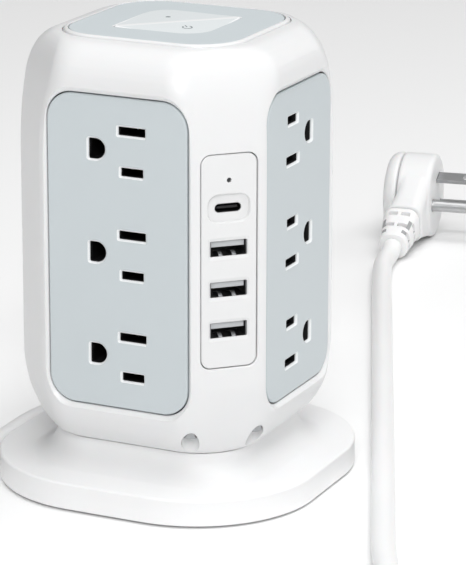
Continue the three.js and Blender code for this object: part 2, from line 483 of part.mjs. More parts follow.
// from the gland to the top layer of the coil
{
  const tip = V(0, GLAND_Y0 + Math.cos(tiltG) * (GLAND_LEN + 0.5), GLAND_Z - Math.sin(tiltG) * (GLAND_LEN + 0.5));
  const flat = chain(0, tip.y, 90, [[152, COIL_ENTRY_DEG]], 9);
  const last = flat.length - 1;
  const pts = flat.map(([x, y], i) => { const t = i / last; return V(x, y, tip.z + (TOP_Z - tip.z) * t - 1.6 * Math.sin(Math.PI * Math.pow(t, 0.8))); });
  add('cord_lead', tube(pts, CORD_R, 5), cordWhite());
}
// the coil of put-away length, one closed ring
{
  const o = COIL_OUT + CORD_R, i = COIL_IN - CORD_R, z0 = COIL_LIFT, z1 = COIL_LIFT + 3 * CORD_D, c = 2.6;
  const g = new THREE.LatheGeometry([[i + c, z0], [o - c, z0], [o, z0 + c], [o, z1 - c], [o - c, z1], [i + c, z1], [i, z1 - c], [i, z0 + c], [i + c, z0]].map(([r, z]) => new THREE.Vector2(r, z)), 24);
  g.rotateX(Math.PI / 2);
  g.translate(COIL_C[0], COIL_C[1], 0);
  add('cord_coil', g, cordWhite());
  // tie strap round the section of the coil
  const shape = (w, h, r) => roundRect(w, h, r, 3);
  const cx = (o + i) / 2, cz = (z0 + z1) / 2, w = o - i, h = z1 - z0;
  const ring = minus(fprism(shape(w + 2.7, h + 1.5, 3.2), -5, 5), fprism(shape(w + 1.7, h + 0.6, 2.6), -8, 8));
  const t = geom(ring);
  t.rotateX(Math.PI / 2);
  t.translate(cx - 0.35, 0, cz); t.rotateZ(118 * D2R); t.translate(COIL_C[0], COIL_C[1], 0);
  add('coil_tie', t, black());
}
// from the coil round the base, past the front and up to the plug
const exitA = COIL_EXIT_DEG * D2R;
const P0 = [COIL_C[0] + COIL_OUT * Math.cos(exitA), COIL_C[1] + COIL_OUT * Math.sin(exitA)];
const N = [Math.sin(PLUG_YAW * D2R), -Math.cos(PLUG_YAW * D2R)];     // neck direction on the ground
const dropA = PLUG_DROP * D2R;
const reliefEnd = [PLUG_C[0] + N[0] * Math.cos(dropA) * RELIEF_END, PLUG_C[1] + N[1] * Math.cos(dropA) * RELIEF_END, PLUG_C[2] - Math.sin(dropA) * RELIEF_END];
{
  // the run past the front ends on the straight line that goes up beside the tower
  const LINE_K = 0.4183, lineX = (y) => 34 - LINE_K * (y - 90), R1 = 36, turn = 112.7;
  const probe = chain(P0[0], P0[1], COIL_EXIT_DEG - 270, [[40, -29], [40, -76], [45.6, 30], 104, [R1, 90]], 15).pop();
  const endY = probe[1] + R1 * (1 - Math.cos(turn * D2R));
  const run = lineX(endY) - probe[0] - R1 * Math.sin(turn * D2R);
  const route = chain(P0[0], P0[1], COIL_EXIT_DEG - 270, [[40, -29], [40, -76], [45.6, 30], 104, [R1, 90], run, [R1, turn]], 15);
  const [ex, ey] = route[route.length - 1], joinY = 212, n = 15;
  for (let i = 1; i <= n; i++) { const y = ey + (joinY - ey) * i / n; route.push([lineX(y), y]); }
  const pts = route.map(([x, y]) => V(x, y, LOW_Z)).slice(2);     // the first stretch is part of the coil
  const neck3 = V(N[0] * Math.cos(dropA), N[1] * Math.cos(dropA), -Math.sin(dropA));
  const p1 = V(...reliefEnd).addScaledVector(neck3, 0.6);
  pts.push(V(p1.x + N[0] * 15, p1.y + N[1] * 15, LOW_Z), V(p1.x + N[0] * 6, p1.y + N[1] * 6, LOW_Z + 0.35), p1);
  add('power_cord', tube(pts, CORD_R, 38), cordWhite());
}

// ---------------------------------------------------------------- plug
// Local frame: X along the pins, Y away from the neck, Z across the two blades.
{
  const A = V(-N[1], N[0], 0), neck = V(N[0] * Math.cos(dropA), N[1] * Math.cos(dropA), -Math.sin(dropA));
  const Y = neck.clone().negate(), Z = A.clone().cross(Y);
  const holder = new THREE.Group();
  holder.matrixAutoUpdate = false;
  holder.matrix.makeBasis(A, Y, Z).setPosition(PLUG_C[0], PLUG_C[1], PLUG_C[2]);
  group.add(holder);
  // (z, y) outline -> solid along X
  const along = (layers) => { const g = loft(layers.map(([pts, x]) => pts.map(([z, y]) => [z, y, x]))); g.applyMatrix4(new THREE.Matrix4().makeBasis(V(0, 0, -1), V(0, 1, 0), V(1, 0, 0))); return solid(g); };
  const full = (R, n = 20) => Array.from({ length: n }, (_, i) => [R * Math.cos(2 * Math.PI * i / n), R * Math.sin(2 * Math.PI * i / n)]);
  const H = PLUG_T / 2;
  let bodyP = along([[full(PLUG_R - 0.5), -4.2], [full(PLUG_R), -3.7], [full(PLUG_R), H - 1.2], [full(PLUG_R - 0.5), H - 0.4], [full(PLUG_R - 1.4), H]]);
  // tapering neck, lofted down the Y axis
  const section4 = (wx, wz, r, x0) => roundRect(wx, wz, r, 2).map(([a, b]) => [a + x0, b]);
  const neckLoft = (list) => { const g = loft(list.map(([wx, wz, r, y, x0]) => section4(wx, wz, r, x0 || 0).map(([a, b]) => [a, b, y]))); g.applyMatrix4(new THREE.Matrix4().makeBasis(V(1, 0, 0), V(0, 0, 1), V(0, -1, 0))); return solid(g); };
  bodyP = union(bodyP, neckLoft([[PLUG_T - 6.4, 26, 3, 8, 2.6], [PLUG_T - 6.4, 25, 3, 13, 2.6], [PLUG_T - 5.5, 19.6, 4, 19, 2.0], [15.4, 16.6, 4.5, 24, 0.6]]));
  const slot = (x0, x1, y0, y1, z0, z1) => box(x0, x1, y0, y1, z0, z1);
  for (const s of [1, -1]) bodyP = minus(bodyP, slot(H - 3.5, H + 2, 3.8 - 3.5, 3.8 + 3.5, s * 6.35 - 1.05, s * 6.35 + 1.05));
  const pinHole = new THREE.CylinderGeometry(2.7, 2.7, 8, 18); pinHole.rotateZ(Math.PI / 2); pinHole.translate(H + 0.5, -8.1, 0);
  bodyP = minus(bodyP, solid(pinHole));
  add('plug_body', geom(bodyP), white(), holder);
  const cap = union(along([[full(PLUG_R - 5.2), -H - 1.0], [full(PLUG_R - 2.4), -H - 0.3], [full(PLUG_R - 0.7), -H + 1.4], [full(PLUG_R), -H + 3.2], [full(PLUG_R - 0.2), -4.9], [full(PLUG_R - 0.8), -4.5]]));
  add('plug_back_cap', geom(cap), white(), holder);
  // slotted strain relief
  let rel = neckLoft([[14.6, 15.0, 4.2, 24.3], [13.6, 13.8, 4.2, 28.5], [12.4, 12.4, 4.4, 36], [11.2, 11.2, 4.6, RELIEF_END]]);
  for (const [y, face] of [[26.6, 'z'], [30.2, 'x'], [33.8, 'z'], [37.4, 'x']])
    for (const s of [1, -1]) for (const t of [1, -1]) {
      const lo = 0.7, hi = 4.2, d0 = 3.6, d1 = 9;
      const a = t > 0 ? [lo, hi] : [-hi, -lo], b = s > 0 ? [d0, d1] : [-d1, -d0];
      rel = minus(rel, face === 'z' ? box(a[0], a[1], -y - 2.2, -y, b[0], b[1]) : box(b[0], b[1], -y - 2.2, -y, a[0], a[1]));
    }
  add('plug_strain_relief', geom(rel), cordWhite(), holder);
  // flat blades with a hole near the tip, and the round ground pin
  for (const [s, name] of [[1, 'plug_blade_1'], [-1, 'plug_blade_2']]) {
    let b = box(H - 3.2, H + 17.8, 0.65, 6.95, s * 6.35 - 0.75, s * 6.35 + 0.75);
    for (const t of [1, -1]) { const c = new THREE.BoxGeometry(4, 4, 4); c.rotateZ(45 * D2R); c.translate(H + 19.1, 3.8 + t * 4.6, s * 6.35); b = minus(b, solid(c)); }
    const h = new THREE.CylinderGeometry(1.75, 1.75, 6, 16); h.rotateX(Math.PI / 2); h.translate(H + 12.0, 3.8, s * 6.35);
    add(name, geom(minus(b, solid(h))), steel(), holder);
  }
  const prof = [[0, -3.0], [2.38, -3.0], [2.38, 19.2], [2.1, 20.5], [1.3, 21.4], [0, 21.7]].map(([r, x]) => new THREE.Vector2(r, x));
  const pin = new THREE.LatheGeometry(prof, 18); pin.rotateZ(-Math.PI / 2); pin.translate(H, -8.1, 0);
  add('plug_ground_pin', geom(solid(pin)), steel(), holder);
}

export default group;
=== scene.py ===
import bpy, bmesh, math
from mathutils import Vector, Matrix


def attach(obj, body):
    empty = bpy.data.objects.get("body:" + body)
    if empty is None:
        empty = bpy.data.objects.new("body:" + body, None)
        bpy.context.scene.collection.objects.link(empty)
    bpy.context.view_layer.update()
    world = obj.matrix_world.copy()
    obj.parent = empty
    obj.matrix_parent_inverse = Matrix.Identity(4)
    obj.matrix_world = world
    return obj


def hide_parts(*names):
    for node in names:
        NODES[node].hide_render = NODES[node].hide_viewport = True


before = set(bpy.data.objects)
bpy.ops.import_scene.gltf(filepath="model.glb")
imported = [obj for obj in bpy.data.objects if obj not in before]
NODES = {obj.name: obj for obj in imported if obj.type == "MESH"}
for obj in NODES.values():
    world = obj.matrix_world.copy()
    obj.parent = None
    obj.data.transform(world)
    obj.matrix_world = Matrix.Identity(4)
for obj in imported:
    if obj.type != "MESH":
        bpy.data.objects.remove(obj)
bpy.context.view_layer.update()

D = math.pi / 180
MM = 0.001
scene = bpy.context.scene

# ------------------------------------------------------------------ camera
cam_data = bpy.data.cameras.new("camera")
cam = bpy.data.objects.new("camera", cam_data)
scene.collection.objects.link(cam)
cam_data.sensor_fit = "AUTO"
cam_data.sensor_width = 36.0
cam_data.sensor_height = 36.0
cam_data.lens = 196.35
cam_data.clip_start = 0.02
cam_data.clip_end = 30.0
right = Vector((0.90435, 0.42677, 0.00258)).normalized()
back = -Vector((-0.40872, 0.86781, -0.28259)).normalized()
up = back.cross(right).normalized()
right = up.cross(back)
m = Matrix((right, up, back)).transposed().to_4x4()
m.translation = Vector((0.41734, -0.84509, 0.33952))
cam.matrix_world = m
scene.camera = cam

# ------------------------------------------------------------------ sizes, mm
BASE_HALF, BASE_R, BASE_TOP = 53.0, 40.0, 9.1
PED_HALF, PED_R, PED_TOP, COVE = 33.3, 17.8, 17.7, 8.6
BODY_Z0, BODY_Z1, FACE, CORNER, EDGE_R = 18.0, 145.7, 42.9, 48.4, 8.0
FOOT_HALF, FOOT_R, RIM_HALF, RIM_R, WALL = 33.5, 18.0, 31.1, 16.5, 2.4
PANEL_W, PANEL_H, PANEL_R, PANEL_PLANE, PANEL_T, PANEL_Z = 47.5, 98.4, 8.5, 42.0, 2.4, 81.75
OUTLET_Z = [114.3, 81.75, 49.2]
BLADE_U, BLADE_GAP, GROUND_OFF = 5.0, 12.7, 11.9
SLOT_LONG, SLOT_SHORT, SLOT_H, GROUND_W, GROUND_H = 9.1, 7.5, 2.7, 5.6, 6.5
USB_PLANE, USB_W, USB_H, USB_R, USB_Z = 48.1, 17.8, 67.0, 3.0, 81.8
USB_A_Z, USB_C_Z, LED_Z = [86.0, 73.1, 60.2], 98.5, 107.3
BEZEL_HALF, BEZEL_R, PLATE_HALF, PLATE_R, PLATE_TOP = 30.8, 16.2, 28.9, 14.3, 146.4
ROCKER_HALF, ROCKER_R, PIVOT_Z, REST_DEG, CROWN = 14.8, 8.0, 142.8, -3.0, 146.6
CORD_R = 3.75
COIL_C, COIL_OUT, COIL_IN, LIFT = (-64.1, 139.3), 47.5, 40.0, 0.9
EXIT_DEG, ENTRY_DEG = 255, 20
GLAND_Z, GLAND_Y0, GLAND_LEN, GLAND_TILT = 28.4, 31.0, 42.0, 12.0
PLUG_R, PLUG_C, PLUG_YAW, PLUG_DROP, PLUG_T = 17.0, (-36.9, 293.6, 17.2), 10.22, 16.0, 19.0
RELIEF_END = 42.0

# ------------------------------------------------------------------ mesh tools
def make(name, verts, faces, matrix=None, smooth=None):
    me = bpy.data.meshes.new(name)
    vs = [Vector(v) for v in verts]
    if matrix is not None:
        vs = [matrix @ v for v in vs]
    me.from_pydata([tuple(v * MM) for v in vs], [], faces)
    me.validate()
    me.update()
    ob = bpy.data.objects.new(name, me)
    scene.collection.objects.link(ob)
    if smooth is not None:
        shade(ob, smooth)
    return ob

def shade(ob, angle=35.0):
    me = ob.data
    for p in me.polygons:
        p.use_smooth = True
    me.set_sharp_from_angle(angle=angle * D)

def bridge(rings, closed_path=False, cap0=True, cap1=True):
    n = len(rings[0])
    verts = [p for r in rings for p in r]
    faces = []
    rows = len(rings)
    for k in range(rows if closed_path else rows - 1):
        a0, b0 = k * n, ((k + 1) % rows) * n
        for i in range(n):
            j = (i + 1) % n
            faces.append((a0 + i, a0 + j, b0 + j, b0 + i))
    if not closed_path:
        if cap0:
            faces.append(tuple(range(n - 1, -1, -1)))
        if cap1:
            o = (rows - 1) * n
            faces.append(tuple(range(o, o + n)))
    return verts, faces

def octagon(P, Q, r, k=10):
    pts = []
    for f in range(8):
        a1 = (f * 45 - 90) * D
        a2 = a1 + 45 * D
        d1, d2 = (Q, P) if f % 2 else (P, Q)
        n1, n2 = (math.cos(a1), math.sin(a1)), (math.cos(a2), math.sin(a2))
        det = n1[0] * n2[1] - n1[1] * n2[0]
        e1, e2 = d1 - r, d2 - r
        cx, cy = (e1 * n2[1] - e2 * n1[1]) / det, (n1[0] * e2 - n2[0] * e1) / det
        for i in range(k + 1):
            a = a1 + (a2 - a1) * i / k
            pts.append((cx + r * math.cos(a), cy + r * math.sin(a)))
    return pts

def corner_of(h, r):
    return (h - r) * math.sqrt(2) + r

def rsq(h, r, k=12):
    return octagon(h, corner_of(h, r) - 0.002, r, k)

def at_z(pts, z):
    return [(x, y, z) for x, y in pts]

def rrect(w, h, r, k=8):
    p = []
    for q in range(4):
        cx = (1 if q in (0, 3) else -1) * (w / 2 - r)
        cy = (1 if q < 2 else -1) * (h / 2 - r)
        for i in range(k + 1):
            a = (q * 90 + 90 * i / k) * D
            p.append((cx + r * math.cos(a), cy + r * math.sin(a)))
    return p

def face_matrix(deg):
    a = deg * D
    u = Vector((math.cos(a), math.sin(a), 0))
    w = Vector((math.sin(a), -math.cos(a), 0))
    return Matrix((u, Vector((0, 0, 1)), w)).transposed().to_4x4()

def boolean(ob, cutters, op="DIFFERENCE"):
    for c in cutters:
        md = ob.modifiers.new("b", "BOOLEAN")
        md.operation = op
        md.solver = "EXACT"
        md.object = c
        dg = bpy.context.evaluated_depsgraph_get()
        me = bpy.data.meshes.new_from_object(ob.evaluated_get(dg))
        ob.modifiers.clear()
        old = ob.data
        ob.data = me
        bpy.data.meshes.remove(old)
        bpy.data.objects.remove(c, do_unlink=True)
    return ob

def join(name, obs):
    """One object from several, their meshes side by side."""
    bm = bmesh.new()
    for o in obs:
        t = o.data.copy()
        t.transform(o.matrix_world)
        bm.from_mesh(t)
        bpy.data.meshes.remove(t)
    me = bpy.data.meshes.new(name)
    bm.to_mesh(me)
    bm.free()
    for o in obs:
        bpy.data.objects.remove(o, do_unlink=True)
    ob = bpy.data.objects.new(name, me)
    scene.collection.objects.link(ob)
    return ob

def apply_mods(ob):
    dg = bpy.context.evaluated_depsgraph_get()
    me = bpy.data.meshes.new_from_object(ob.evaluated_get(dg))
    ob.modifiers.clear()
    old = ob.data
    ob.data = me
    bpy.data.meshes.remove(old)
    return ob

def weld_normals(ob):
    md = ob.modifiers.new("wn", "WEIGHTED_NORMAL")
    md.keep_sharp = True
    md.weight = 70
    return ob

def lathe(name, prof, n, matrix, smooth=35):
    """Profile of (radius, height) turned about +Y of the given frame."""
    verts, faces = [], []
    rings = []
    for r, y in prof:
        if r < 1e-6:
            rings.append([len(verts)]); verts.append((0, y, 0))
        else:
            rings.append(list(range(len(verts), len(verts) + n)))
            verts += [(r * math.sin(2 * math.pi * i / n), y, r * math.cos(2 * math.pi * i / n)) for i in range(n)]
    for a, b in zip(rings, rings[1:]):
        for i in range(n):
            j = (i + 1) % n
            q = [a[i % len(a)], a[j % len(a)], b[j % len(b)], b[i % len(b)]]
            f = []
            for v in q:
                if v not in f:
                    f.append(v)
            if len(f) > 2:
                faces.append(tuple(f))
    return make(name, verts, faces, matrix, smooth)

# ------------------------------------------------------------------ materials
def nodes_of(name):
    mat = bpy.data.materials.new(name)
    mat.use_nodes = True
    nt = mat.node_tree
    return mat, nt, nt.nodes["Principled BSDF"]

def link(nt, a, b):
    nt.links.new(a, b)

def plastic(name, col, rough=0.35, vary=0.02, grain=900, bump=0.05, coat=0.0, edge_lighten=0.06, edge=0.00025, sss=0.0, spec=0.5, metal=0.0, rvar=0.08, blotch=22):
    """Moulded plastic or metal: cloudy colour, uneven gloss, fine surface grain and colour lightened along the edges.
    """
    mat, nt, bs = nodes_of(name)
    N = nt.nodes.new
    tc = N("ShaderNodeTexCoord")
    big = N("ShaderNodeTexNoise"); big.inputs["Scale"].default_value = blotch; big.inputs["Detail"].default_value = 3
    fine = N("ShaderNodeTexNoise"); fine.inputs["Scale"].default_value = grain; fine.inputs["Detail"].default_value = 2
    for t in (big, fine):
        link(nt, tc.outputs["Object"], t.inputs["Vector"])
    ramp = N("ShaderNodeMapRange")
    ramp.inputs["To Min"].default_value = 1 - vary; ramp.inputs["To Max"].default_value = 1 + vary
    link(nt, big.outputs["Fac"], ramp.inputs["Value"])
    mul = N("ShaderNodeVectorMath"); mul.operation = "SCALE"
    mul.inputs[0].default_value = col
    link(nt, ramp.outputs["Result"], mul.inputs["Scale"])
    # colour is lightened along the edges, where the bevel normal turns away from the face normal, broken up by the fine
    # grain
    bev = N("ShaderNodeBevel"); bev.samples = 4; bev.inputs["Radius"].default_value = edge
    geo = N("ShaderNodeNewGeometry")
    dot = N("ShaderNodeVectorMath"); dot.operation = "DOT_PRODUCT"
    link(nt, bev.outputs["Normal"], dot.inputs[0]); link(nt, geo.outputs["Normal"], dot.inputs[1])
    em = N("ShaderNodeMapRange"); em.inputs["From Min"].default_value = 0.98; em.inputs["From Max"].default_value = 0.8
    em.inputs["To Min"].default_value = 0.0; em.inputs["To Max"].default_value = edge_lighten
    link(nt, dot.outputs["Value"], em.inputs["Value"])
    wn = N("ShaderNodeMath"); wn.operation = "MULTIPLY"
    link(nt, em.outputs["Result"], wn.inputs[0]); link(nt, fine.outputs["Fac"], wn.inputs[1])
    add = N("ShaderNodeMix"); add.data_type = "RGBA"
    link(nt, wn.outputs["Value"], add.inputs["Factor"])
    link(nt, mul.outputs["Vector"], add.inputs[6]); add.inputs[7].default_value = (min(1, col[0] * 1.25 + 0.05), min(1, col[1] * 1.25 + 0.05), min(1, col[2] * 1.25 + 0.05), 1)
    link(nt, add.outputs[2], bs.inputs["Base Color"])
    rr = N("ShaderNodeMapRange"); rr.inputs["To Min"].default_value = rough - rvar; rr.inputs["To Max"].default_value = rough + rvar
    link(nt, big.outputs["Fac"], rr.inputs["Value"]); link(nt, rr.outputs["Result"], bs.inputs["Roughness"])
    bp = N("ShaderNodeBump"); bp.inputs["Strength"].default_value = bump; bp.inputs["Distance"].default_value = 0.0002
    link(nt, fine.outputs["Fac"], bp.inputs["Height"]); link(nt, bev.outputs["Normal"], bp.inputs["Normal"])
    link(nt, bp.outputs["Normal"], bs.inputs["Normal"])
    bs.inputs["Metallic"].default_value = metal
    bs.inputs["Specular IOR Level"].default_value = spec
    bs.inputs["Coat Weight"].default_value = coat
    bs.inputs["Coat Roughness"].default_value = 0.12
    if sss:
        bs.inputs["Subsurface Weight"].default_value = sss
        bs.inputs["Subsurface Scale"].default_value = 0.002
    return mat

def brushed(name, col, rough=0.3, scale=(40, 1400, 1400), bump=0.08):
    """Metal with fine drawn lines along X of its own coordinates."""
    mat, nt, bs = nodes_of(name)
    N = nt.nodes.new
    tc = N("ShaderNodeTexCoord"); mp = N("ShaderNodeMapping"); mp.inputs["Scale"].default_value = scale
    ns = N("ShaderNodeTexNoise"); ns.inputs["Scale"].default_value = 1.0; ns.inputs["Detail"].default_value = 4
    link(nt, tc.outputs["Object"], mp.inputs["Vector"]); link(nt, mp.outputs["Vector"], ns.inputs["Vector"])
    mr = N("ShaderNodeMapRange"); mr.inputs["To Min"].default_value = 0.82; mr.inputs["To Max"].default_value = 1.12
    link(nt, ns.outputs["Fac"], mr.inputs["Value"])
    sc = N("ShaderNodeVectorMath"); sc.operation = "SCALE"; sc.inputs[0].default_value = col
    link(nt, mr.outputs["Result"], sc.inputs["Scale"]); link(nt, sc.outputs["Vector"], bs.inputs["Base Color"])
    rr = N("ShaderNodeMapRange"); rr.inputs["To Min"].default_value = rough - 0.08; rr.inputs["To Max"].default_value = rough + 0.12
    link(nt, ns.outputs["Fac"], rr.inputs["Value"]); link(nt, rr.outputs["Result"], bs.inputs["Roughness"])
    bv = N("ShaderNodeBevel"); bv.samples = 4; bv.inputs["Radius"].default_value = 0.0002
    bp = N("ShaderNodeBump"); bp.inputs["Strength"].default_value = bump; bp.inputs["Distance"].default_value = 0.0001
    link(nt, ns.outputs["Fac"], bp.inputs["Height"]); link(nt, bv.outputs["Normal"], bp.inputs["Normal"]); link(nt, bp.outputs["Normal"], bs.inputs["Normal"])
    bs.inputs["Metallic"].default_value = 1.0
    return mat

def weave(name, col):
    mat, nt, bs = nodes_of(name)
    N = nt.nodes.new
    tc = N("ShaderNodeTexCoord")
    w1 = N("ShaderNodeTexWave"); w1.inputs["Scale"].default_value = 350; w1.bands_direction = "X"
    w2 = N("ShaderNodeTexWave"); w2.inputs["Scale"].default_value = 350; w2.bands_direction = "Z"
    mx = N("ShaderNodeMath"); mx.operation = "MULTIPLY"
    for w in (w1, w2):
        link(nt, tc.outputs["Object"], w.inputs["Vector"])
    link(nt, w1.outputs["Fac"], mx.inputs[0]); link(nt, w2.outputs["Fac"], mx.inputs[1])
    mr = N("ShaderNodeMapRange"); mr.inputs["To Min"].default_value = 0.5; mr.inputs["To Max"].default_value = 1.6
    link(nt, mx.outputs["Value"], mr.inputs["Value"])
    sc = N("ShaderNodeVectorMath"); sc.operation = "SCALE"; sc.inputs[0].default_value = col
    link(nt, mr.outputs["Result"], sc.inputs["Scale"]); link(nt, sc.outputs["Vector"], bs.inputs["Base Color"])
    bp = N("ShaderNodeBump"); bp.inputs["Strength"].default_value = 0.5; bp.inputs["Distance"].default_value = 0.0004
    link(nt, mx.outputs["Value"], bp.inputs["Height"]); link(nt, bp.outputs["Normal"], bs.inputs["Normal"])
    bs.inputs["Roughness"].default_value = 0.85
    bs.inputs["Sheen Weight"].default_value = 0.3
    return mat

def set_mat(ob, mat):
    ob.data.materials.clear()
    ob.data.materials.append(mat)

WHITE = plastic("white_abs", (0.775, 0.778, 0.782), 0.36, 0.012, 1500, 0.035, coat=0.15, edge_lighten=0.10, sss=0.03)
WHITE_BASE = plastic("white_base", (0.88, 0.882, 0.885), 0.42, 0.012, 1300, 0.04, edge_lighten=0.10, sss=0.03)
PANEL = plastic("blue_grey_panel", (0.565, 0.615, 0.635), 0.42, 0.018, 1700, 0.045, edge_lighten=0.25, edge=0.0003)
TOPGREY = plastic("blue_grey_top", (0.575, 0.625, 0.645), 0.45, 0.018, 1700, 0.045, edge_lighten=0.25, edge=0.0003)
ROCKER = plastic("pale_rocker", (0.70, 0.735, 0.745), 0.40, 0.015, 1700, 0.04, edge_lighten=0.5, edge=0.0004)
USBW = plastic("white_usb", (0.765, 0.768, 0.77), 0.33, 0.012, 1600, 0.03, edge_lighten=0.2)
PLUGW = plastic("plug_white", (0.82, 0.823, 0.826), 0.40, 0.015, 1100, 0.05, edge_lighten=0.1, sss=0.05)
PVC = plastic("cord_pvc", (0.88, 0.88, 0.88), 0.42, 0.02, 700, 0.08, edge_lighten=0.0, sss=0.05)
# black plastic of the real black parts, also painted shade on the deeper part of the outlet holes' walls
BLACK_AND_HOLE_SHADE = plastic("black_abs_and_painted_hole_shade", (0.012, 0.012, 0.013), 0.55, 0.3, 900, 0.1, edge_lighten=0.05)
TONGUE = plastic("tongue_grey", (0.55, 0.57, 0.58), 0.5, 0.04, 1500, 0.05, edge_lighten=0.1)
RUBBER = plastic("rubber_foot", (0.03, 0.03, 0.032), 0.85, 0.25, 600, 0.3, edge_lighten=0.2, spec=0.3)
GREEN = plastic("board_green", (0.02, 0.12, 0.05), 0.4, 0.2, 500, 0.08, coat=0.4, edge_lighten=0.2)
BLUE = plastic("varistor_blue", (0.02, 0.06, 0.25), 0.3, 0.15, 400, 0.1, coat=0.5, edge_lighten=0.1)
PIPE = plastic("light_pipe", (0.02, 0.022, 0.024), 0.25, 0.2, 800, 0.02, coat=0.3)
MARK = plastic("printed_mark", (0.22, 0.25, 0.26), 0.5, 0.1, 2000, 0.02, edge_lighten=0.0)
STEEL = brushed("steel_zinc", (0.42, 0.43, 0.44), 0.36)
NICKEL = brushed("nickel_pin", (0.50, 0.505, 0.51), 0.30)
BRASS = brushed("stamped_brass", (0.62, 0.45, 0.20), 0.34)
GOLD = brushed("gold_contact", (0.75, 0.60, 0.32), 0.28)
# light copy of the panel plastic, a painted highlight on the outer part of each outlet hole's wall
SLOT_WALL_HIGHLIGHT = plastic("slot_wall_painted_highlight", (0.84, 0.86, 0.87), 0.35, 0.015, 1500, 0.03, edge_lighten=0.2)
# near-white plastic used as a painted highlight on the rocker's crest and rim and on the rim around the rocker opening
EDGE_HIGHLIGHT = plastic("painted_highlight_edge", (0.88, 0.89, 0.895), 0.3, 0.012, 1500, 0.03, coat=0.3, edge_lighten=0.2)
SHELLMETAL = brushed("port_shell", (0.27, 0.275, 0.28), 0.34)
# darker grey, painted shade inside the strain relief's windows
SHADE = plastic("relief_pocket_painted_shade", (0.36, 0.365, 0.37), 0.55, 0.05, 700, 0.05, edge_lighten=0.0)
STRAP = weave("tie_weave", (0.03, 0.03, 0.032))

# ------------------------------------------------------------------ the lead
def chain(x, y, heading, parts, step):
    out = [(x, y)]
    h = heading * D
    for p in parts:
        if isinstance(p, tuple):
            R, deg = p
            n = max(1, math.ceil(abs(deg) * D * R / step))
            s = 1 if deg > 0 else -1
            cx, cy, h0 = x - s * R * math.sin(h), y + s * R * math.cos(h), h
            for i in range(1, n + 1):
                a = h0 + deg * D * i / n
                out.append((cx + s * R * math.sin(a), cy - s * R * math.cos(a)))
            h = h0 + deg * D
        else:
            n = max(1, math.ceil(p / step))
            x0, y0 = x, y
            for i in range(1, n + 1):
                out.append((x0 + math.cos(h) * p * i / n, y0 + math.sin(h) * p * i / n))
        x, y = out[-1]
    return out

def smooth01(t):
    t = max(0.0, min(1.0, t))
    return t * t * (3 - 2 * t)

LOW_Z, TOP_Z = CORD_R + 0.1, LIFT + CORD_R * 5
tg = GLAND_TILT * D
tip = Vector((0, GLAND_Y0 + math.cos(tg) * GLAND_LEN, GLAND_Z - math.sin(tg) * GLAND_LEN))
route = []
flat = chain(0, tip.y + 0.5, 90, [(152, ENTRY_DEG)], 9)
for i, (x, y) in enumerate(flat):
    t = i / (len(flat) - 1)
    route.append(Vector((x, y, tip.z + (TOP_Z - tip.z) * t - 1.6 * math.sin(math.pi * t ** 0.8))))
ex = route[-1]
# tangent run from the lead onto the coil, then the turns
TOTAL = EXIT_DEG - ENTRY_DEG + 1080
th = ENTRY_DEG * D
entry = Vector((COIL_C[0] + COIL_OUT * math.cos(th), COIL_C[1] + COIL_OUT * math.sin(th), TOP_Z))
route.append(ex.lerp(entry, 0.5))
def coil_r(psi):
    if psi < 270: return COIL_OUT
    if psi < 360: return COIL_OUT + (COIL_IN - COIL_OUT) * smooth01((psi - 270) / 90)
    if psi < 810: return COIL_IN
    if psi < 900: return COIL_IN + (COIL_OUT - COIL_IN) * smooth01((psi - 810) / 90)
    return COIL_OUT
def coil_z(psi):
    z1, d = LIFT + CORD_R, 2 * CORD_R
    return z1 + d * smooth01((psi - 540) / 90) + d * smooth01((psi - 1080) / 90)
steps = 76
for i in range(steps + 1):
    s = TOTAL * i / steps
    psi = TOTAL - s
    a = (ENTRY_DEG + s) * D
    r = coil_r(psi)
    route.append(Vector((COIL_C[0] + r * math.cos(a), COIL_C[1] + r * math.sin(a), coil_z(psi))))
P0 = (route[-1].x, route[-1].y)
N = (math.sin(PLUG_YAW * D), -math.cos(PLUG_YAW * D))
da = PLUG_DROP * D
neck3 = Vector((N[0] * math.cos(da), N[1] * math.cos(da), -math.sin(da)))
relief_end = Vector(PLUG_C) + neck3 * RELIEF_END
LINE_K, R1, TURN = 0.4183, 36, 112.7
line_x = lambda y: 34 - LINE_K * (y - 90)
parts0 = [(40, -29), (40, -76), (45.6, 30), 104, (R1, 90)]
probe = chain(P0[0], P0[1], EXIT_DEG - 270, parts0, 15)[-1]
end_y = probe[1] + R1 * (1 - math.cos(TURN * D))
run = line_x(end_y) - probe[0] - R1 * math.sin(TURN * D)
way = chain(P0[0], P0[1], EXIT_DEG - 270, parts0 + [run, (R1, TURN)], 24)
exx, eyy = way[-1]
n = 9
for i in range(1, n + 1):
    y = eyy + (212 - eyy) * i / n
    way.append((line_x(y), y))
for i, (x, y) in enumerate(way[1:]):
    zz = LOW_Z + (LIFT - 0.1) * max(0.0, 1 - (i + 1) / 2)
    route.append(Vector((x, y, zz)))
p1 = relief_end + neck3 * 0.1
route += [Vector((p1.x + N[0] * 15, p1.y + N[1] * 15, LOW_Z)), Vector((p1.x + N[0] * 6, p1.y + N[1] * 6, LOW_Z + 0.35)), p1]

cu = bpy.data.curves.new("mains_lead", "CURVE")
cu.dimensions = "3D"
cu.bevel_depth = CORD_R * MM
cu.bevel_resolution = 6
cu.resolution_u = 6
cu.use_fill_caps = True
sp = cu.splines.new("BEZIER")
sp.bezier_points.add(len(route) - 1)
for bp_, p in zip(sp.bezier_points, route):
    bp_.co = p * MM
    bp_.handle_left_type = bp_.handle_right_type = "AUTO"
lead = bpy.data.objects.new("mains_lead", cu)
scene.collection.objects.link(lead)
cu.materials.append(PVC)
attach(lead, "housing")
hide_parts("cord_lead", "cord_coil", "power_cord")

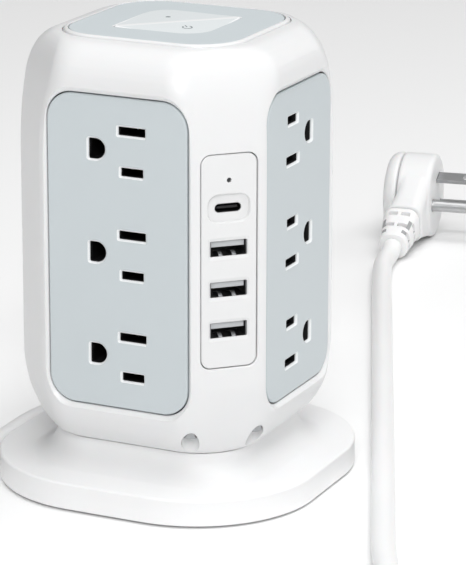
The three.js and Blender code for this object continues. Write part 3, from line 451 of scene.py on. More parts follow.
# ------------------------------------------------------------------ gland: ribbed, tapering strain relief
gm = Matrix.Translation((0, GLAND_Y0, GLAND_Z)) @ Matrix.Rotation(-tg, 4, "X")
prof = [(0, 0), (7.0, 0), (7.3, 0.3), (7.3, 1.7), (7.0, 2.0), (5.9, 2.0), (5.9, 12.0), (6.8, 12.1), (7.0, 12.5), (7.0, 13.6), (6.75, 14.6), (6.3, 15.1)]
ribs = 8
for i in range(ribs):
    z, r = 15.5 + i * 3.05, 6.25 - i * 0.17
    prof += [(r - 0.15, z), (r, z + 0.25), (r - 0.05, z + 1.55), (r - 0.25, z + 1.8), (r - 0.85, z + 1.95), (r - 0.9, z + 2.85)]
prof += [(4.95, 40.0), (4.9, 41.5), (4.6, GLAND_LEN), (0, GLAND_LEN)]
gland = lathe("gland_relief", prof, 40, gm, 30)
set_mat(gland, PVC)
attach(gland, "housing"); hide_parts("cord_gland")

# ------------------------------------------------------------------ plug
A = Vector((-N[1], N[0], 0)); Yv = -neck3; Zv = A.cross(Yv)
PM = Matrix((A, Yv, Zv)).transposed().to_4x4(); PM.translation = Vector(PLUG_C)
HT = PLUG_T / 2

def disc_stack(name, layers, n=64):
    rings = [[(x, R * math.cos(2 * math.pi * i / n), R * math.sin(2 * math.pi * i / n)) for i in range(n)] for R, x in layers]
    v, f = bridge(rings)
    return make(name, v, f)

def neck_loft(name, rows, k=8):
    rings = [[(a + x0, -y, b) for a, b in rrect(wx, wz, r, k)] for wx, wz, r, y, x0 in rows]
    v, f = bridge(rings)
    return make(name, v, f)

def lerp_rows(rows, per=6):
    out = []
    for a, b in zip(rows, rows[1:]):
        for i in range(per):
            out.append(tuple(p + (q - p) * i / per for p, q in zip(a, b)))
    return out + [rows[-1]]

def fix_normals(ob):
    bm = bmesh.new(); bm.from_mesh(ob.data)
    bmesh.ops.recalc_face_normals(bm, faces=bm.faces)
    bm.to_mesh(ob.data); bm.free()

def local_box(x0, x1, y0, y1, z0, z1):
    v = [(x, y, z) for x in (x0, x1) for y in (y0, y1) for z in (z0, z1)]
    f = [(0, 1, 3, 2), (4, 6, 7, 5), (0, 4, 5, 1), (2, 3, 7, 6), (0, 2, 6, 4), (1, 5, 7, 3)]
    o = make("cut", v, f); fix_normals(o); return o

body = disc_stack("pb", [(PLUG_R - 0.9, -4.2), (PLUG_R - 0.3, -4.0), (PLUG_R, -3.5), (PLUG_R, HT - 1.6), (PLUG_R - 0.35, HT - 0.7), (PLUG_R - 1.1, HT - 0.15), (PLUG_R - 2.0, HT)])
neck = neck_loft("pn", lerp_rows([(12.6, 30.0, 3.4, 4, 2.6), (12.6, 28.0, 3.4, 10, 2.6), (12.8, 22.8, 4, 15.5, 2.4), (13.6, 18.6, 4.4, 20, 1.6), (14.8, 16.9, 4.6, 23.4, 0.8), (14.4, 16.3, 4.6, 24.0, 0.7)], 4))
for o in (body, neck): fix_normals(o)
boolean(body, [neck], "UNION")
rm = body.modifiers.new("r", "REMESH"); rm.mode = "VOXEL"; rm.voxel_size = 0.00042
sm = body.modifiers.new("s", "SMOOTH"); sm.factor = 0.5; sm.iterations = 7
apply_mods(body)
cuts = [local_box(HT - 3.5, HT + 3, 0.3, 7.3, s * 6.35 - 1.05, s * 6.35 + 1.05) for s in (1, -1)]
hole = disc_stack("h", [(2.7, HT - 3.5), (2.7, HT + 3)], 32)
bm = bmesh.new(); bm.from_mesh(hole.data); bmesh.ops.translate(bm, verts=bm.verts, vec=(0, -8.1 * MM, 0)); bm.to_mesh(hole.data); bm.free(); fix_normals(hole)
boolean(body, cuts + [hole])
body.data.transform(Matrix.Translation(PM.translation * MM) @ PM.to_3x3().to_4x4())
body.name = "plug_shell"; shade(body, 40); set_mat(body, PLUGW)
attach(body, "housing"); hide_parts("plug_body")

cap = disc_stack("plug_cap", [(0.02, -HT - 1.0), (PLUG_R - 7, -HT - 0.95), (PLUG_R - 4.4, -HT - 0.8), (PLUG_R - 2.6, -HT - 0.35), (PLUG_R - 1.3, -HT + 0.5), (PLUG_R - 0.45, -HT + 1.9), (PLUG_R - 0.05, -HT + 3.2), (PLUG_R, -HT + 4.0), (PLUG_R - 0.25, -4.75), (PLUG_R - 0.9, -4.5)], 72)
fix_normals(cap)
cap.data.transform(Matrix.Translation(PM.translation * MM) @ PM.to_3x3().to_4x4())
shade(cap, 40); set_mat(cap, PLUGW)
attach(cap, "housing"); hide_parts("plug_back_cap")

rel = neck_loft("plug_relief", lerp_rows([(14.2, 14.6, 4.4, 24.3, 0), (14.6, 14.9, 4.4, 24.8, 0), (13.7, 13.9, 4.4, 28.5, 0), (12.4, 12.4, 4.4, 36, 0), (11.3, 11.3, 4.6, 41.6, 0), (10.9, 10.9, 4.6, RELIEF_END, 0)], 3))
fix_normals(rel)
cuts = []
for yy, face in ((26.6, "z"), (30.2, "x"), (33.8, "z"), (37.4, "x")):
    for s in (1, -1):
        for t in (1, -1):
            a = (0.7, 4.3) if t > 0 else (-4.3, -0.7)
            b = (3.6, 9) if s > 0 else (-9, -3.6)
            cuts.append(local_box(a[0], a[1], -yy - 2.2, -yy, b[0], b[1]) if face == "z" else local_box(b[0], b[1], -yy - 2.2, -yy, a[0], a[1]))
boolean(rel, cuts)
bv = rel.modifiers.new("bv", "BEVEL"); bv.width = 0.00018; bv.segments = 2; bv.limit_method = "ANGLE"; bv.angle_limit = 40 * D
apply_mods(rel)
rel.data.transform(Matrix.Translation(PM.translation * MM) @ PM.to_3x3().to_4x4())
shade(rel, 40); set_mat(rel, PVC)
rel.data.materials.append(SHADE)
to_local = (Matrix.Translation(PM.translation * MM) @ PM.to_3x3().to_4x4()).inverted()
# faces inside the windows get the darker grey as painted shade
for p_ in rel.data.polygons:
    c_ = to_local @ p_.center
    y_ = -c_.y / MM
    if any(yy + 0.1 < y_ < yy + 2.1 for yy in (26.6, 30.2, 33.8, 37.4)) and max(abs(c_.x), abs(c_.z)) / MM < 5.6 and p_.area < 3e-5:
        p_.material_index = 1
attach(rel, "housing"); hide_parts("plug_strain_relief")

for n_ in ("plug_blade_1", "plug_blade_2", "plug_ground_pin"):
    set_mat(NODES[n_], NICKEL)

# tie strap with rounded corners
th_t = 118 * D
o_, i_ = COIL_OUT + CORD_R, COIL_IN - CORD_R
w_, h_ = o_ - i_ + 2.2, 3 * 2 * CORD_R + 1.05
ctr = ((o_ + i_) / 2 - 0.35, LIFT + 3 * CORD_R)
rings = []
loop_o, loop_i = rrect(w_, h_, 3.6, 8), rrect(w_ - 0.9, h_ - 0.9, 3.2, 8)
for pts, wy in ((loop_i, -4.8), (loop_o, -4.8), (loop_o, -5.0 + 0.4), (loop_o, 4.6), (loop_o, 4.8), (loop_i, 4.8)):
    rings.append([(ctr[0] + a, wy, ctr[1] + b) for a, b in pts])
v, f = bridge(rings, closed_path=True)
tie = make("coil_strap", v, f, Matrix.Translation((COIL_C[0], COIL_C[1], 0)) @ Matrix.Rotation(th_t, 4, "Z"), 40)
fix_normals(tie)
set_mat(tie, STRAP)
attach(tie, "housing"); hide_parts("coil_tie")

bpy.context.view_layer.update()

# ------------------------------------------------------------------ housing
def arc(s, n):
    s = min(1.0, max(0.0, s))
    return 1 - (1 - s ** n) ** (1 / n)

Q_FOOT, Q_RIM = corner_of(FOOT_HALF, FOOT_R), corner_of(RIM_HALF, RIM_R)
T22 = math.tan(22.5 * D)

def outline(z, inset=0.0, k=8):
    P, Q, r = FACE, CORNER, EDGE_R
    if z > 108:
        sp, sq = (z - 131.6) / (BODY_Z1 - 131.6), (z - 108) / (BODY_Z1 - 108)
        P = FACE - (FACE - RIM_HALF) * arc(sp, 2.0)
        Q = CORNER - (CORNER - Q_RIM) * arc(sq, 2.0)
        r = EDGE_R + (RIM_R - EDGE_R) * arc(sq, 1.6)
    elif z < 42:
        sp, sq = (31.6 - z) / (31.6 - BODY_Z0), (42 - z) / (42 - BODY_Z0)
        P = FACE - (FACE - FOOT_HALF) * arc(sp, 1.45)
        Q = CORNER - (CORNER - Q_FOOT) * arc(sq, 1.5)
        r = EDGE_R + (FOOT_R - EDGE_R) * arc(sq, 1.3)
    P -= inset; Q -= inset; r = max(1.2, r - inset)
    xv = Q * math.sqrt(2) - P
    half = (P - xv) / math.sqrt(2)
    r = min(r, max(0.5, (half - 0.001) / T22), max(0.5, (xv - 0.001) / T22))
    return octagon(P, Q, r, k)

def levels(step):
    zs = {BODY_Z0, BODY_Z1, 108.0, 42.0}
    for i in range(0, 91, step):
        s = math.sin(i * D)
        zs.add(108 + (BODY_Z1 - 108) * s)
        zs.add(131.6 + (BODY_Z1 - 131.6) * s)
        zs.add(42 - (42 - BODY_Z0) * s ** 1.3)
        zs.add(31.6 - (31.6 - BODY_Z0) * s ** 1.3)
    out = []
    for z in sorted(zs):
        if not out or z - out[-1] > 0.12:
            out.append(z)
    out[-1] = BODY_Z1
    return out

def body_solid(name, inset, zs, k):
    v, f = bridge([at_z(outline(min(BODY_Z1, max(BODY_Z0, z)), inset, k), z) for z in zs])
    return make(name, v, f)

def tube_solid(name, r, z0, z1, x=0.0, y=0.0, n=40, lip=0.0):
    """Upright cylinder, with an optional flare at its lower end."""
    rings = []
    rows = [(r + lip, z0), (r + lip, z0 + 0.001)] if lip else [(r, z0)]
    if lip:
        rows = [(r + lip, z0), (r + lip, BODY_Z0 + 0.0), (r + lip * 0.3, BODY_Z0 + lip * 0.6), (r, BODY_Z0 + lip * 1.4)]
    rows.append((r, z1))
    for rr, z in rows:
        rings.append([(x + rr * math.cos(2 * math.pi * i / n), y + rr * math.sin(2 * math.pi * i / n), z) for i in range(n)])
    v, f = bridge(rings)
    return make(name, v, f)

def panel_cutter(w, h, r, rows, cz, deg, k=10):
    rings = [[(a, b + cz, lv) for a, b in rrect(w + 2 * g, h + 2 * g, r + g, k)] for g, lv in rows]
    v, f = bridge(rings)
    return make("cut", v, f, face_matrix(deg))

def cleanup(ob, dist=2e-6):
    bm = bmesh.new(); bm.from_mesh(ob.data)
    bmesh.ops.remove_doubles(bm, verts=bm.verts, dist=dist)
    bmesh.ops.dissolve_degenerate(bm, edges=bm.edges, dist=dist)
    bmesh.ops.recalc_face_normals(bm, faces=bm.faces)
    bm.to_mesh(ob.data); bm.free()
    return ob

RECESS = [(22.4, -37.3), (37.3, -22.4), (-22.4, 37.3), (-37.3, 22.4)]
fine = levels(5)
shell = body_solid("housing_body", 0.0, fine, 9)
bosses = join("bosses", [tube_solid("b", 4.6, BODY_Z0, 33, x, y) for x, y in RECESS])
boolean(bosses, [body_solid("o", 0.0, fine, 9)], "INTERSECT")
inner = [BODY_Z0 - 1] + [z for z in levels(15) if z < 143] + [143.4]
boolean(shell, [body_solid("i", WALL, inner, 4)])
v, f = bridge([at_z(rsq(BEZEL_HALF, BEZEL_R), z) for z in (143.2, 150)])
boolean(shell, [make("t", v, f)])
boolean(shell, [bosses], "UNION")
boolean(shell, [join("r", [tube_solid("r", 2.8, 10, 27.2, x, y, 40) for x, y in RECESS])])
boolean(shell, [join("r", [tube_solid("r", 1.3, 20, 32.2, x, y, 20) for x, y in RECESS])])
# each outlet opening has a soft, turned-out edge
soft = [(0.12, 34), (0.12, 41.45), (0.17, 41.62), (0.32, 41.78), (1.30, 42.62), (1.48, 42.76), (1.66, 42.85), (1.90, 42.92), (1.90, 47)]
boolean(shell, [join("p", [panel_cutter(PANEL_W + 0.6, PANEL_H + 0.6, PANEL_R + 0.3, soft, PANEL_Z, 90 * k) for k in (0, 2)])])
boolean(shell, [join("p", [panel_cutter(PANEL_W + 0.6, PANEL_H + 0.6, PANEL_R + 0.3, soft, PANEL_Z, 90 * k) for k in (1, 3)])])
boolean(shell, [panel_cutter(USB_W + 0.6, USB_H + 0.6, USB_R + 0.3, [(0, 40), (0, 48.05), (0.08, 48.22), (0.22, 48.34), (0.40, 48.42), (0.40, 52)], USB_Z, 45)])
gh = disc_stack("gh", [(6.4, 2), (6.4, 42)], 48)
gh.data.transform((Matrix.Translation(gm.translation * MM) @ gm.to_3x3().to_4x4()) @ Matrix.Rotation(90 * D, 4, "Z"))
fix_normals(gh)
boolean(shell, [gh])
cleanup(shell); shade(shell, 28); weld_normals(shell)
shell.data.materials.clear(); shell.data.materials.append(WHITE)
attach(shell, "housing"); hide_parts("housing_shell")

# ------------------------------------------------------------------ base plate
rings = [(29.5, 14.0, 15.2), (29.5, 14.0, 6.6), (49.6, 36.6, 6.6), (49.6, 36.6, 0.5), (52.3, 39.3, 0.5)]
for i in range(1, 6):
    a = 18 * i * D
    rings.append((52.3 + 0.7 * math.sin(a), 39.3 + 0.7 * math.sin(a), 1.2 - 0.7 * math.cos(a)))
for i in range(0, 8):
    a = 90 * i / 7 * D
    rings.append((53.0 - 0.85 * (1 - math.cos(a)), 40.0 - 0.85 * (1 - math.cos(a)), 8.25 + 0.85 * math.sin(a)))
for i in range(0, 19):
    a = 5 * i * D
    d = COVE * (1 - math.sin(a))
    rings.append((PED_HALF + d, PED_R + d, BASE_TOP + 0.001 + (PED_TOP - BASE_TOP) * (1 - math.cos(a))))
v, f = bridge([at_z(rsq(h, r, 14), z) for h, r, z in rings])
base = make("base_body", v, f)
boolean(base, [join("s", [tube_solid("s", 1.8, 10, 20, sx * 20, sy * 20, 24) for sx in (1, -1) for sy in (1, -1)])])
boolean(base, [join("s", [tube_solid("s", 7.2, 1.6, 6.9, sx * 33.4, sy * 33.4, 40) for sx in (1, -1) for sy in (1, -1)])], "UNION")
cleanup(base); shade(base, 32); weld_normals(base)
base.data.materials.clear(); base.data.materials.append(WHITE_BASE)
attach(base, "housing"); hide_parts("base_plate")

# ------------------------------------------------------------------ outlet panels
HOLE_ROWS = [(0, 36), (0, 41.05), (0, 41.42), (0.04, 41.50), (0.44, 41.88), (0.52, 42.001), (0.52, 44)]

def hole_cutter(pts_of, u, v0, flip, deg):
    s = -1 if flip else 1
    rings = [[(s * a + u, s * b + v0, w) for a, b in pts_of(g)] for g, w in HOLE_ROWS]
    v, f = bridge(rings)
    return make("cut", v, f, face_matrix(deg))

def d_shape(g):
    w, h = GROUND_W / 2 + g, GROUND_H / 2 + g
    q = 0.5 + g
    p = []
    for i in range(7):
        a = (90 + 15 * i) * D
        p.append((-w + q + q * math.cos(a), h - q + q * math.sin(a)))
    for i in range(7):
        a = (180 + 15 * i) * D
        p.append((-w + q + q * math.cos(a), -h + q + q * math.sin(a)))
    for i in range(25):
        a = (-90 + 7.5 * i) * D
        p.append((w - h + h * math.cos(a), h * math.sin(a)))
    return p

for k, side in enumerate(("front", "right", "back", "left")):
    turn = -1 if k % 2 else 1
    rows = [(0, PANEL_PLANE - PANEL_T), (0, 41.50), (-0.05, 41.72), (-0.16, 41.88), (-0.33, 41.97), (-0.50, 42.0)]
    rings = [[(a, b + PANEL_Z, w) for a, b in rrect(PANEL_W + 2 * g, PANEL_H + 2 * g, PANEL_R + g, 14)] for g, w in rows]
    v, f = bridge(rings)
    plate = make("panel_" + side, v, f, face_matrix(90 * k))
    cuts = []
    for z in OUTLET_Z:
        cuts.append(hole_cutter(lambda g: rrect(SLOT_LONG + 2 * g, SLOT_H + 2 * g, 0.3 + g * 0.6, 3), turn * BLADE_U, z + turn * BLADE_GAP / 2, turn < 0, 90 * k))
        cuts.append(hole_cutter(lambda g: rrect(SLOT_SHORT + 2 * g, SLOT_H + 2 * g, 0.3 + g * 0.6, 3), turn * BLADE_U, z - turn * BLADE_GAP / 2, turn < 0, 90 * k))
        cuts.append(hole_cutter(d_shape, turn * (BLADE_U - GROUND_OFF), z, turn < 0, 90 * k))
    boolean(plate, [join("c", cuts)])
    cleanup(plate); shade(plate, 30); weld_normals(plate)
    set_mat(plate, PANEL)
    plate.data.materials.append(SLOT_WALL_HIGHLIGHT); plate.data.materials.append(BLACK_AND_HOLE_SHADE)
    face_n = Vector((math.sin(90 * k * D), -math.cos(90 * k * D), 0))
    face_u = Vector((math.cos(90 * k * D), math.sin(90 * k * D), 0))
    # hole walls are painted: the outer part of each wall gets a painted highlight, the deeper part black as painted
    # shade
    for p_ in plate.data.polygons:
        w_c, u_c, z_c = p_.center.dot(face_n) / MM, p_.center.dot(face_u) / MM, p_.center.z / MM
        flat = abs(p_.normal.dot(face_n)) > 0.97
        if abs(u_c) < 15 and abs(z_c - PANEL_Z) < 45 and not flat:
            p_.material_index = 1 if w_c > 41.06 else 2
    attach(plate, "housing"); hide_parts("outlet_panel_" + side)

# ------------------------------------------------------------------ USB strip
rows = [(0, USB_PLANE - 2.2), (0, 47.75), (-0.06, 47.93), (-0.18, 48.05), (-0.36, 48.1)]
rings = [[(a, b + USB_Z, w) for a, b in rrect(USB_W + 2 * g, USB_H + 2 * g, USB_R + g, 10)] for g, w in rows]
v, f = bridge(rings)
strip = make("usb_strip", v, f, face_matrix(45))

def port_cutter(w, h, r, z, rows, k=6):
    rings = [[(a, b + z, lv) for a, b in rrect(w + 2 * g, h + 2 * g, r + g * 0.7, k)] for g, lv in rows]
    v, f = bridge(rings)
    return make("cut", v, f, face_matrix(45))

def stepped_cutter(z, rows, k=6):
    """A cutter whose width, height and corner radius are given at each level."""
    v, f = bridge([[(a, b + z, lv) for a, b in rrect(w, h, r, k)] for w, h, r, lv in rows])
    return make("cut", v, f, face_matrix(45))

# a thin lip in front of each port's metal shell, bevelled outwards
ports = [stepped_cutter(z, [(12.5, 6.2, 0.5, 44), (12.5, 6.2, 0.5, 47.54), (11.9, 4.75, 0.3, 47.56), (12.0, 4.85, 0.34, 47.68), (13.1, 6.7, 0.7, 48.02),
                            (13.34, 7.04, 0.8, 48.101), (13.34, 7.04, 0.8, 50)]) for z in USB_A_Z]
ports.append(port_cutter(12.6, 8.0, 3.2, USB_C_Z, [(0.22, 46.9), (0.34, 47.02), (0.46, 47.8), (0.54, 48.0), (0.66, 48.101), (0.66, 50)], 10))
boolean(strip, [join("c", ports)])
led = [tube_solid("led", 0.75, 0, 10, 0, 0, 32)]
led[0].data.transform(Matrix.Translation((0, 0, LED_Z * MM)) @ Matrix.Rotation(45 * D, 4, "Z") @ Matrix.Rotation(90 * D, 4, "X") @ Matrix.Translation((0, 0, 43 * MM)))
boolean(strip, [stepped_cutter(USB_C_Z, [(9.0, 3.3, 1.6, 44), (9.0, 3.3, 1.6, 46.81), (8.5, 2.75, 1.35, 46.83), (8.56, 2.82, 1.38, 46.95), (8.6, 2.86, 1.4, 47.4)], 8)] + led)
cleanup(strip); shade(strip, 30); weld_normals(strip)
set_mat(strip, USBW)
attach(strip, "housing"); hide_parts("usb_panel")

def fbox(name, u0, u1, v0, v1, w0, w1, deg=45):
    v = [(u, vv, w) for u in (u0, u1) for vv in (v0, v1) for w in (w0, w1)]
    f = [(0, 1, 3, 2), (4, 6, 7, 5), (0, 4, 5, 1), (2, 3, 7, 6), (0, 2, 6, 4), (1, 5, 7, 3)]
    o = make(name, v, f, face_matrix(deg)); fix_normals(o)
    return o

pads, springs = [], []
for z in USB_A_Z:
    for i, u in enumerate((-3.5, -1.2, 1.2, 3.5)):
        pads.append(fbox("pad", u - 0.5, u + 0.5, z + 0.18, z + 0.29, 38.5 if i in (1, 2) else 37.5, 46.0))
    for u in (-2.4, 1.9):
        # leaf spring bent up from the floor of the shell
        prof = [(47.3, -2.48), (46.4, -1.75), (45.4, -1.35), (43.6, -1.9), (41.5, -2.42)]
        vs, fs = [], []
        for w, h in prof:
            for du in (-0.62, 0.62):
                for dh in (0.0, 0.16):
                    vs.append((u + du, z + h + dh, w))
        for a in range(len(prof) - 1):
            o = a * 4
            fs += [(o, o + 4, o + 5, o + 1), (o + 2, o + 3, o + 7, o + 6), (o + 1, o + 5, o + 7, o + 3), (o, o + 2, o + 6, o + 4)]
        o = (len(prof) - 1) * 4
        fs += [(0, 1, 3, 2), (o, o + 2, o + 3, o + 1)]
        s = make("leaf", vs, fs, face_matrix(45)); fix_normals(s); springs.append(s)
pads = join("usb_contact_pads", pads); set_mat(pads, GOLD); shade(pads, 30)
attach(pads, "housing")
springs = join("usb_shell_springs", springs); set_mat(springs, STEEL); shade(springs, 40)
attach(springs, "housing")

# ------------------------------------------------------------------ top bezel and plate
prof = [(BEZEL_HALF - 0.3, BEZEL_R - 0.3, 143.5), (30.5, 15.9, 145.0)]
for i in range(1, 10):
    a = 10 * i * D
    prof.append((30.5 - 1.25 * (1 - math.cos(a)), 15.9 - 1.25 * (1 - math.cos(a)), 145.1 + 1.38 * math.sin(a)))
prof += [(29.05, 14.45, 146.46), (28.94, 14.34, 146.36), (28.92, 14.32, 146.2), (28.92, 14.32, 144.3), (26.0, 11.5, 144.3), (26.0, 11.5, 143.5)]
v, f = bridge([at_z(rsq(h, r, 14), z) for h, r, z in prof], closed_path=True)
bez = make("bezel_ring", v, f); fix_normals(bez); shade(bez, 35)
set_mat(bez, WHITE)
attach(bez, "housing"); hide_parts("top_bezel")

def rocker_ring(g, k=14):
    h, r1, r0, p = ROCKER_HALF + g, ROCKER_R + g, 0.8 + max(0.0, g), []
    for sx, sy, r, a0 in ((1, 1, r0, 0), (-1, 1, r1, 90), (-1, -1, r0, 180), (1, -1, r1, 270)):
        for i in range(k + 1):
            a = (a0 + 90 * i / k) * D
            p.append((sx * (h - r) + r * math.cos(a), sy * (h - r) + r * math.sin(a)))
    return p

v, f = bridge([at_z(rsq(h, r, 14), z) for h, r, z in ((28.6, 14.0, 144.6), (28.6, 14.0, 146.1), (28.56, 13.96, 146.25), (28.45, 13.85, 146.36), (28.3, 13.7, 146.4))])
top = make("top_panel", v, f)
v, f = bridge([at_z(rocker_ring(g), z) for g, z in ((0.40, 140), (0.40, 146.12), (0.50, 146.30), (0.72, 146.401), (0.72, 150))])
boolean(top, [make("c", v, f)])
cleanup(top); shade(top, 30); weld_normals(top)
set_mat(top, TOPGREY)
top.data.materials.append(EDGE_HIGHLIGHT)
# the sloped rim faces around the rocker opening get the painted highlight material
for p_ in top.data.polygons:
    r_ = math.hypot(p_.center.x, p_.center.y) / MM
    if 0.15 < p_.normal.z < 0.97 and max(abs(p_.center.x), abs(p_.center.y)) < 16.2 * MM and p_.center.z > 146.1 * MM:
        p_.material_index = 1
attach(top, "housing"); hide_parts("top_plate")

# ------------------------------------------------------------------ rocker, in the frame of its pivot
C2 = math.sqrt(0.5)
to_pivot = lambda p, z: [((x + y) * C2, (y - x) * C2, z) for x, y in p]
up_to = lambda z: z - PIVOT_Z
RM = Matrix.Translation((0, 0, PIVOT_Z)) @ Matrix.Rotation(45 * D, 4, "Z") @ Matrix.Rotation(-REST_DEG * D, 4, "X")
CROWN_Z, FALL = up_to(CROWN), math.tan(2.0 * D)

def crown(y, g=0.0):
    """Height of the rocker's top: two planes that fall away from the diagonal, with a soft crest."""
    e = 0.25
    return CROWN_Z - FALL * (math.sqrt(y * y + e * e) - e) + g

skirt = [to_pivot(rocker_ring(g), up_to(z)) for g, z in ((-1.2, 143.2), (-0.15, 145.0), (0, 145.4))]
edge = [to_pivot(rocker_ring(g), CROWN_Z + d) for g, d in ((0.0, -0.42), (-0.05, -0.24), (-0.16, -0.10), (-0.32, -0.02), (-0.50, 0.0))]
inside = [to_pivot(rocker_ring(g), up_to(z)) for g, z in ((-2.6, 144.6), (-3.4, 143.2))]
v, f = bridge(inside + skirt + edge)
rock = make("rocker_cap", v, f)
bm = bmesh.new(); bm.from_mesh(rock.data)
for y in (-14, -11, -8, -5, -3, -1.8, -1.0, -0.6, -0.32, -0.1, 0.1, 0.32, 0.6, 1.0, 1.8, 3, 5, 8, 11, 14):
    bmesh.ops.bisect_plane(bm, geom=list(bm.faces) + list(bm.edges) + list(bm.verts), plane_co=(0, y * MM, 0), plane_no=(0, 1, 0), dist=1e-7)
for vtx in bm.verts:
    if vtx.co.z > up_to(145.7) * MM:
        vtx.co.z += (crown(vtx.co.y / MM) - CROWN_Z) * MM
bmesh.ops.recalc_face_normals(bm, faces=bm.faces)
bm.to_mesh(rock.data); bm.free()
rock.data.transform(Matrix.Translation(RM.translation * MM) @ RM.to_3x3().to_4x4())
shade(rock, 50); weld_normals(rock)
set_mat(rock, ROCKER)
rock.data.materials.append(EDGE_HIGHLIGHT)
inv = RM.inverted()
nrm = RM.to_3x3().inverted()
# the crest strip along the diagonal and the sloped rim faces get the painted highlight material
for p_ in rock.data.polygons:
    c_, n_l = inv @ (p_.center / MM), nrm @ p_.normal
    if (abs(c_.y) < 1.0 and n_l.z > 0.9 and c_.z > 0) or (0.2 < n_l.z < 0.96 and c_.z > up_to(145.5)):
        p_.material_index = 1
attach(rock, "rocker_body"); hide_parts("rocker")

# printed marks: a dot on the half that is down, a power sign on the other
def mark_strip(path, width, closed=False):
    vs, fs = [], []
    m_ = len(path)
    for i, (x, y) in enumerate(path):
        a, b = path[max(0, i - 1)], path[min(m_ - 1, i + 1)]
        if closed:
            a, b = path[i - 1], path[(i + 1) % m_]
        t = Vector((b[0] - a[0], b[1] - a[1])).normalized()
        for s in (1, -1):
            px, py = x - s * t.y * width / 2, y + s * t.x * width / 2
            for h in (0.002, 0.028):
                vs.append((px, py, crown(py, h)))
    for i in range(m_ if closed else m_ - 1):
        a, b = i * 4, ((i + 1) % m_) * 4
        fs += [(a + 1, b + 1, b + 3, a + 3), (a, a + 1, b + 1, b) if False else (a, b, b + 1, a + 1), (a + 2, a + 3, b + 3, b + 2), (a, a + 2, b + 2, b)]
    if not closed:
        e = (m_ - 1) * 4
        fs += [(0, 1, 3, 2), (e, e + 2, e + 3, e + 1)]
    o = make("m", vs, fs); fix_normals(o)
    return o

ix, iy = 0.8, -6.9
arcp = [(ix + 1.45 * math.cos(a * D), iy + 1.45 * math.sin(a * D)) for a in range(128, 128 + 285, 12)]
marks = [mark_strip(arcp, 0.42), mark_strip([(ix, iy + 0.35), (ix, iy + 1.1), (ix, iy + 2.1)], 0.42)]
dv = [(-0.8, 6.9, crown(6.9, 0.028))] + [(-0.8 + 0.8 * math.cos(i * 15 * D), 6.9 + 0.8 * math.sin(i * 15 * D), crown(6.9 + 0.8 * math.sin(i * 15 * D), 0.028)) for i in range(24)]
dv += [(x, y, z - 0.026) for x, y, z in dv]
df = [(0, 1 + i, 1 + (i + 1) % 24) for i in range(24)] + [(25, 26 + (i + 1) % 24, 26 + i) for i in range(24)] + [(1 + i, 26 + i, 26 + (i + 1) % 24, 1 + (i + 1) % 24) for i in range(24)]
dot = make("m", dv, df); fix_normals(dot)
marks.append(dot)
marks = join("rocker_marks", marks)
marks.data.transform(Matrix.Translation(RM.translation * MM) @ RM.to_3x3().to_4x4())
set_mat(marks, MARK); shade(marks, 40)
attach(marks, "rocker_body")

# ------------------------------------------------------------------ the CAD pieces that stay, by their material
LOOKS = [("housing_screw", STEEL), ("base_screw", STEEL), ("foot_", RUBBER), ("bottom_cover", WHITE_BASE), ("contact_carrier", BLACK_AND_HOLE_SHADE),
         ("neutral_bus", BRASS), ("line_bus", BRASS), ("ground_bus", BRASS), ("led_light_pipe", PIPE), ("usb_a_shell", SHELLMETAL), ("usb_a_tongue", TONGUE),
         ("usb_c_shell", SHELLMETAL), ("usb_c_tongue", BLACK_AND_HOLE_SHADE), ("usb_board", GREEN), ("surge_board", GREEN), ("varistor", BLUE), ("rocker_plunger", BRASS),
         ("rocker_axle", STEEL), ("switch_body", BLACK_AND_HOLE_SHADE), ("contact_lever", BRASS), ("plug_blade", NICKEL), ("plug_ground_pin", NICKEL)]
for name, ob in NODES.items():
    for start, mat in LOOKS:
        if name.startswith(start):
            set_mat(ob, mat)
            if not ob.hide_render and name.startswith(("housing_screw", "base_screw", "foot_", "plug_", "usb_")):
                bv = ob.modifiers.new("soft", "BEVEL")
                bv.width = 0.00012; bv.segments = 2; bv.limit_method = "ANGLE"; bv.angle_limit = 40 * D
                bv.use_clamp_overlap = True
            break
    else:
        if not ob.hide_render:
            set_mat(ob, WHITE)

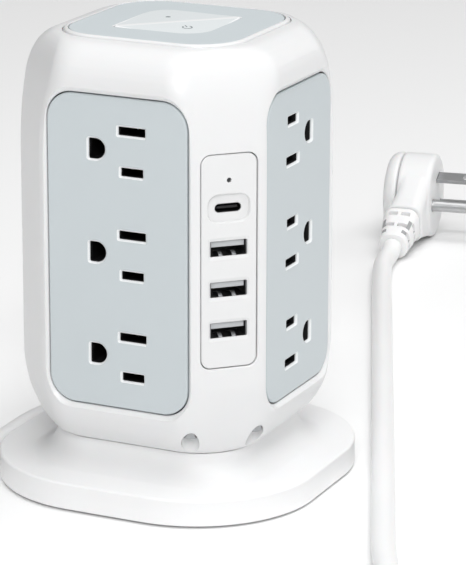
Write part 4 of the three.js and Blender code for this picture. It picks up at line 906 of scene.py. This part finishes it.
# ------------------------------------------------------------------ floor and light
fm, nt, bs = nodes_of("floor")
N_ = nt.nodes.new
ns = N_("ShaderNodeTexNoise"); ns.inputs["Scale"].default_value = 3.0
tc = N_("ShaderNodeTexCoord"); link(nt, tc.outputs["Object"], ns.inputs["Vector"])
mr = N_("ShaderNodeMapRange"); mr.inputs["To Min"].default_value = 0.93; mr.inputs["To Max"].default_value = 0.95
link(nt, ns.outputs["Fac"], mr.inputs["Value"])
link(nt, mr.outputs["Result"], bs.inputs["Base Color"])
bs.inputs["Roughness"].default_value = 0.6
bs.inputs["Specular IOR Level"].default_value = 0.3
v = [(-6, -6, 0), (6, -6, 0), (6, 6, 0), (-6, 6, 0)]
me = bpy.data.meshes.new("floor"); me.from_pydata([(x, y, -0.0002) for x, y, _ in v], [], [(0, 1, 2, 3)]); me.update()
floor = bpy.data.objects.new("floor", me); scene.collection.objects.link(floor)
me.materials.append(fm)

world = bpy.data.worlds.new("world"); scene.world = world
world.use_nodes = True
wt = world.node_tree
WN = wt.nodes.new
wtc = WN("ShaderNodeTexCoord"); wsep = WN("ShaderNodeSeparateXYZ")
link(wt, wtc.outputs["Generated"], wsep.inputs[0])
# a studio that is bright overhead and darker towards the left wall
level = None
for out, k in (("X", 0.17), ("Y", 0.00), ("Z", 0.60)):
    mu = WN("ShaderNodeMath"); mu.operation = "MULTIPLY_ADD"
    link(wt, wsep.outputs[out], mu.inputs[0]); mu.inputs[1].default_value = k
    if level is None:
        mu.inputs[2].default_value = 0.10
    else:
        link(wt, level.outputs[0], mu.inputs[2])
    level = mu
cl = WN("ShaderNodeClamp"); cl.inputs["Min"].default_value = 0.03; cl.inputs["Max"].default_value = 1.3
link(wt, level.outputs[0], cl.inputs["Value"])
link(wt, cl.outputs[0], wt.nodes["Background"].inputs[1])
wt.nodes["Background"].inputs[0].default_value = (1.0, 1.0, 1.0, 1)

def area(name, loc, target, size, power, size_y=None):
    d = bpy.data.lights.new(name, "AREA")
    d.shape = "RECTANGLE"
    d.size = size; d.size_y = size_y or size
    d.energy = power
    o = bpy.data.objects.new(name, d)
    scene.collection.objects.link(o)
    o.location = loc
    o.rotation_euler = (Vector(target) - Vector(loc)).to_track_quat("-Z", "Y").to_euler()
    return o

lights = [area("key", (0.55, -1.30, 1.02), (0, 0, 0.06), 0.6, 11.4),
          area("top", (0.35, -0.10, 1.6), (0, 0.0, 0.0), 1.1, 12.0),
          area("back", (0.9, 1.2, 0.9), (0, 0, 0.06), 0.9, 2.2)]
scene.view_settings.view_transform = "Standard"
scene.view_settings.look = "None"
scene.view_settings.exposure = 0.0
scene.view_settings.gamma = 1.0
scene.render.film_transparent = False

bpy.context.view_layer.update()
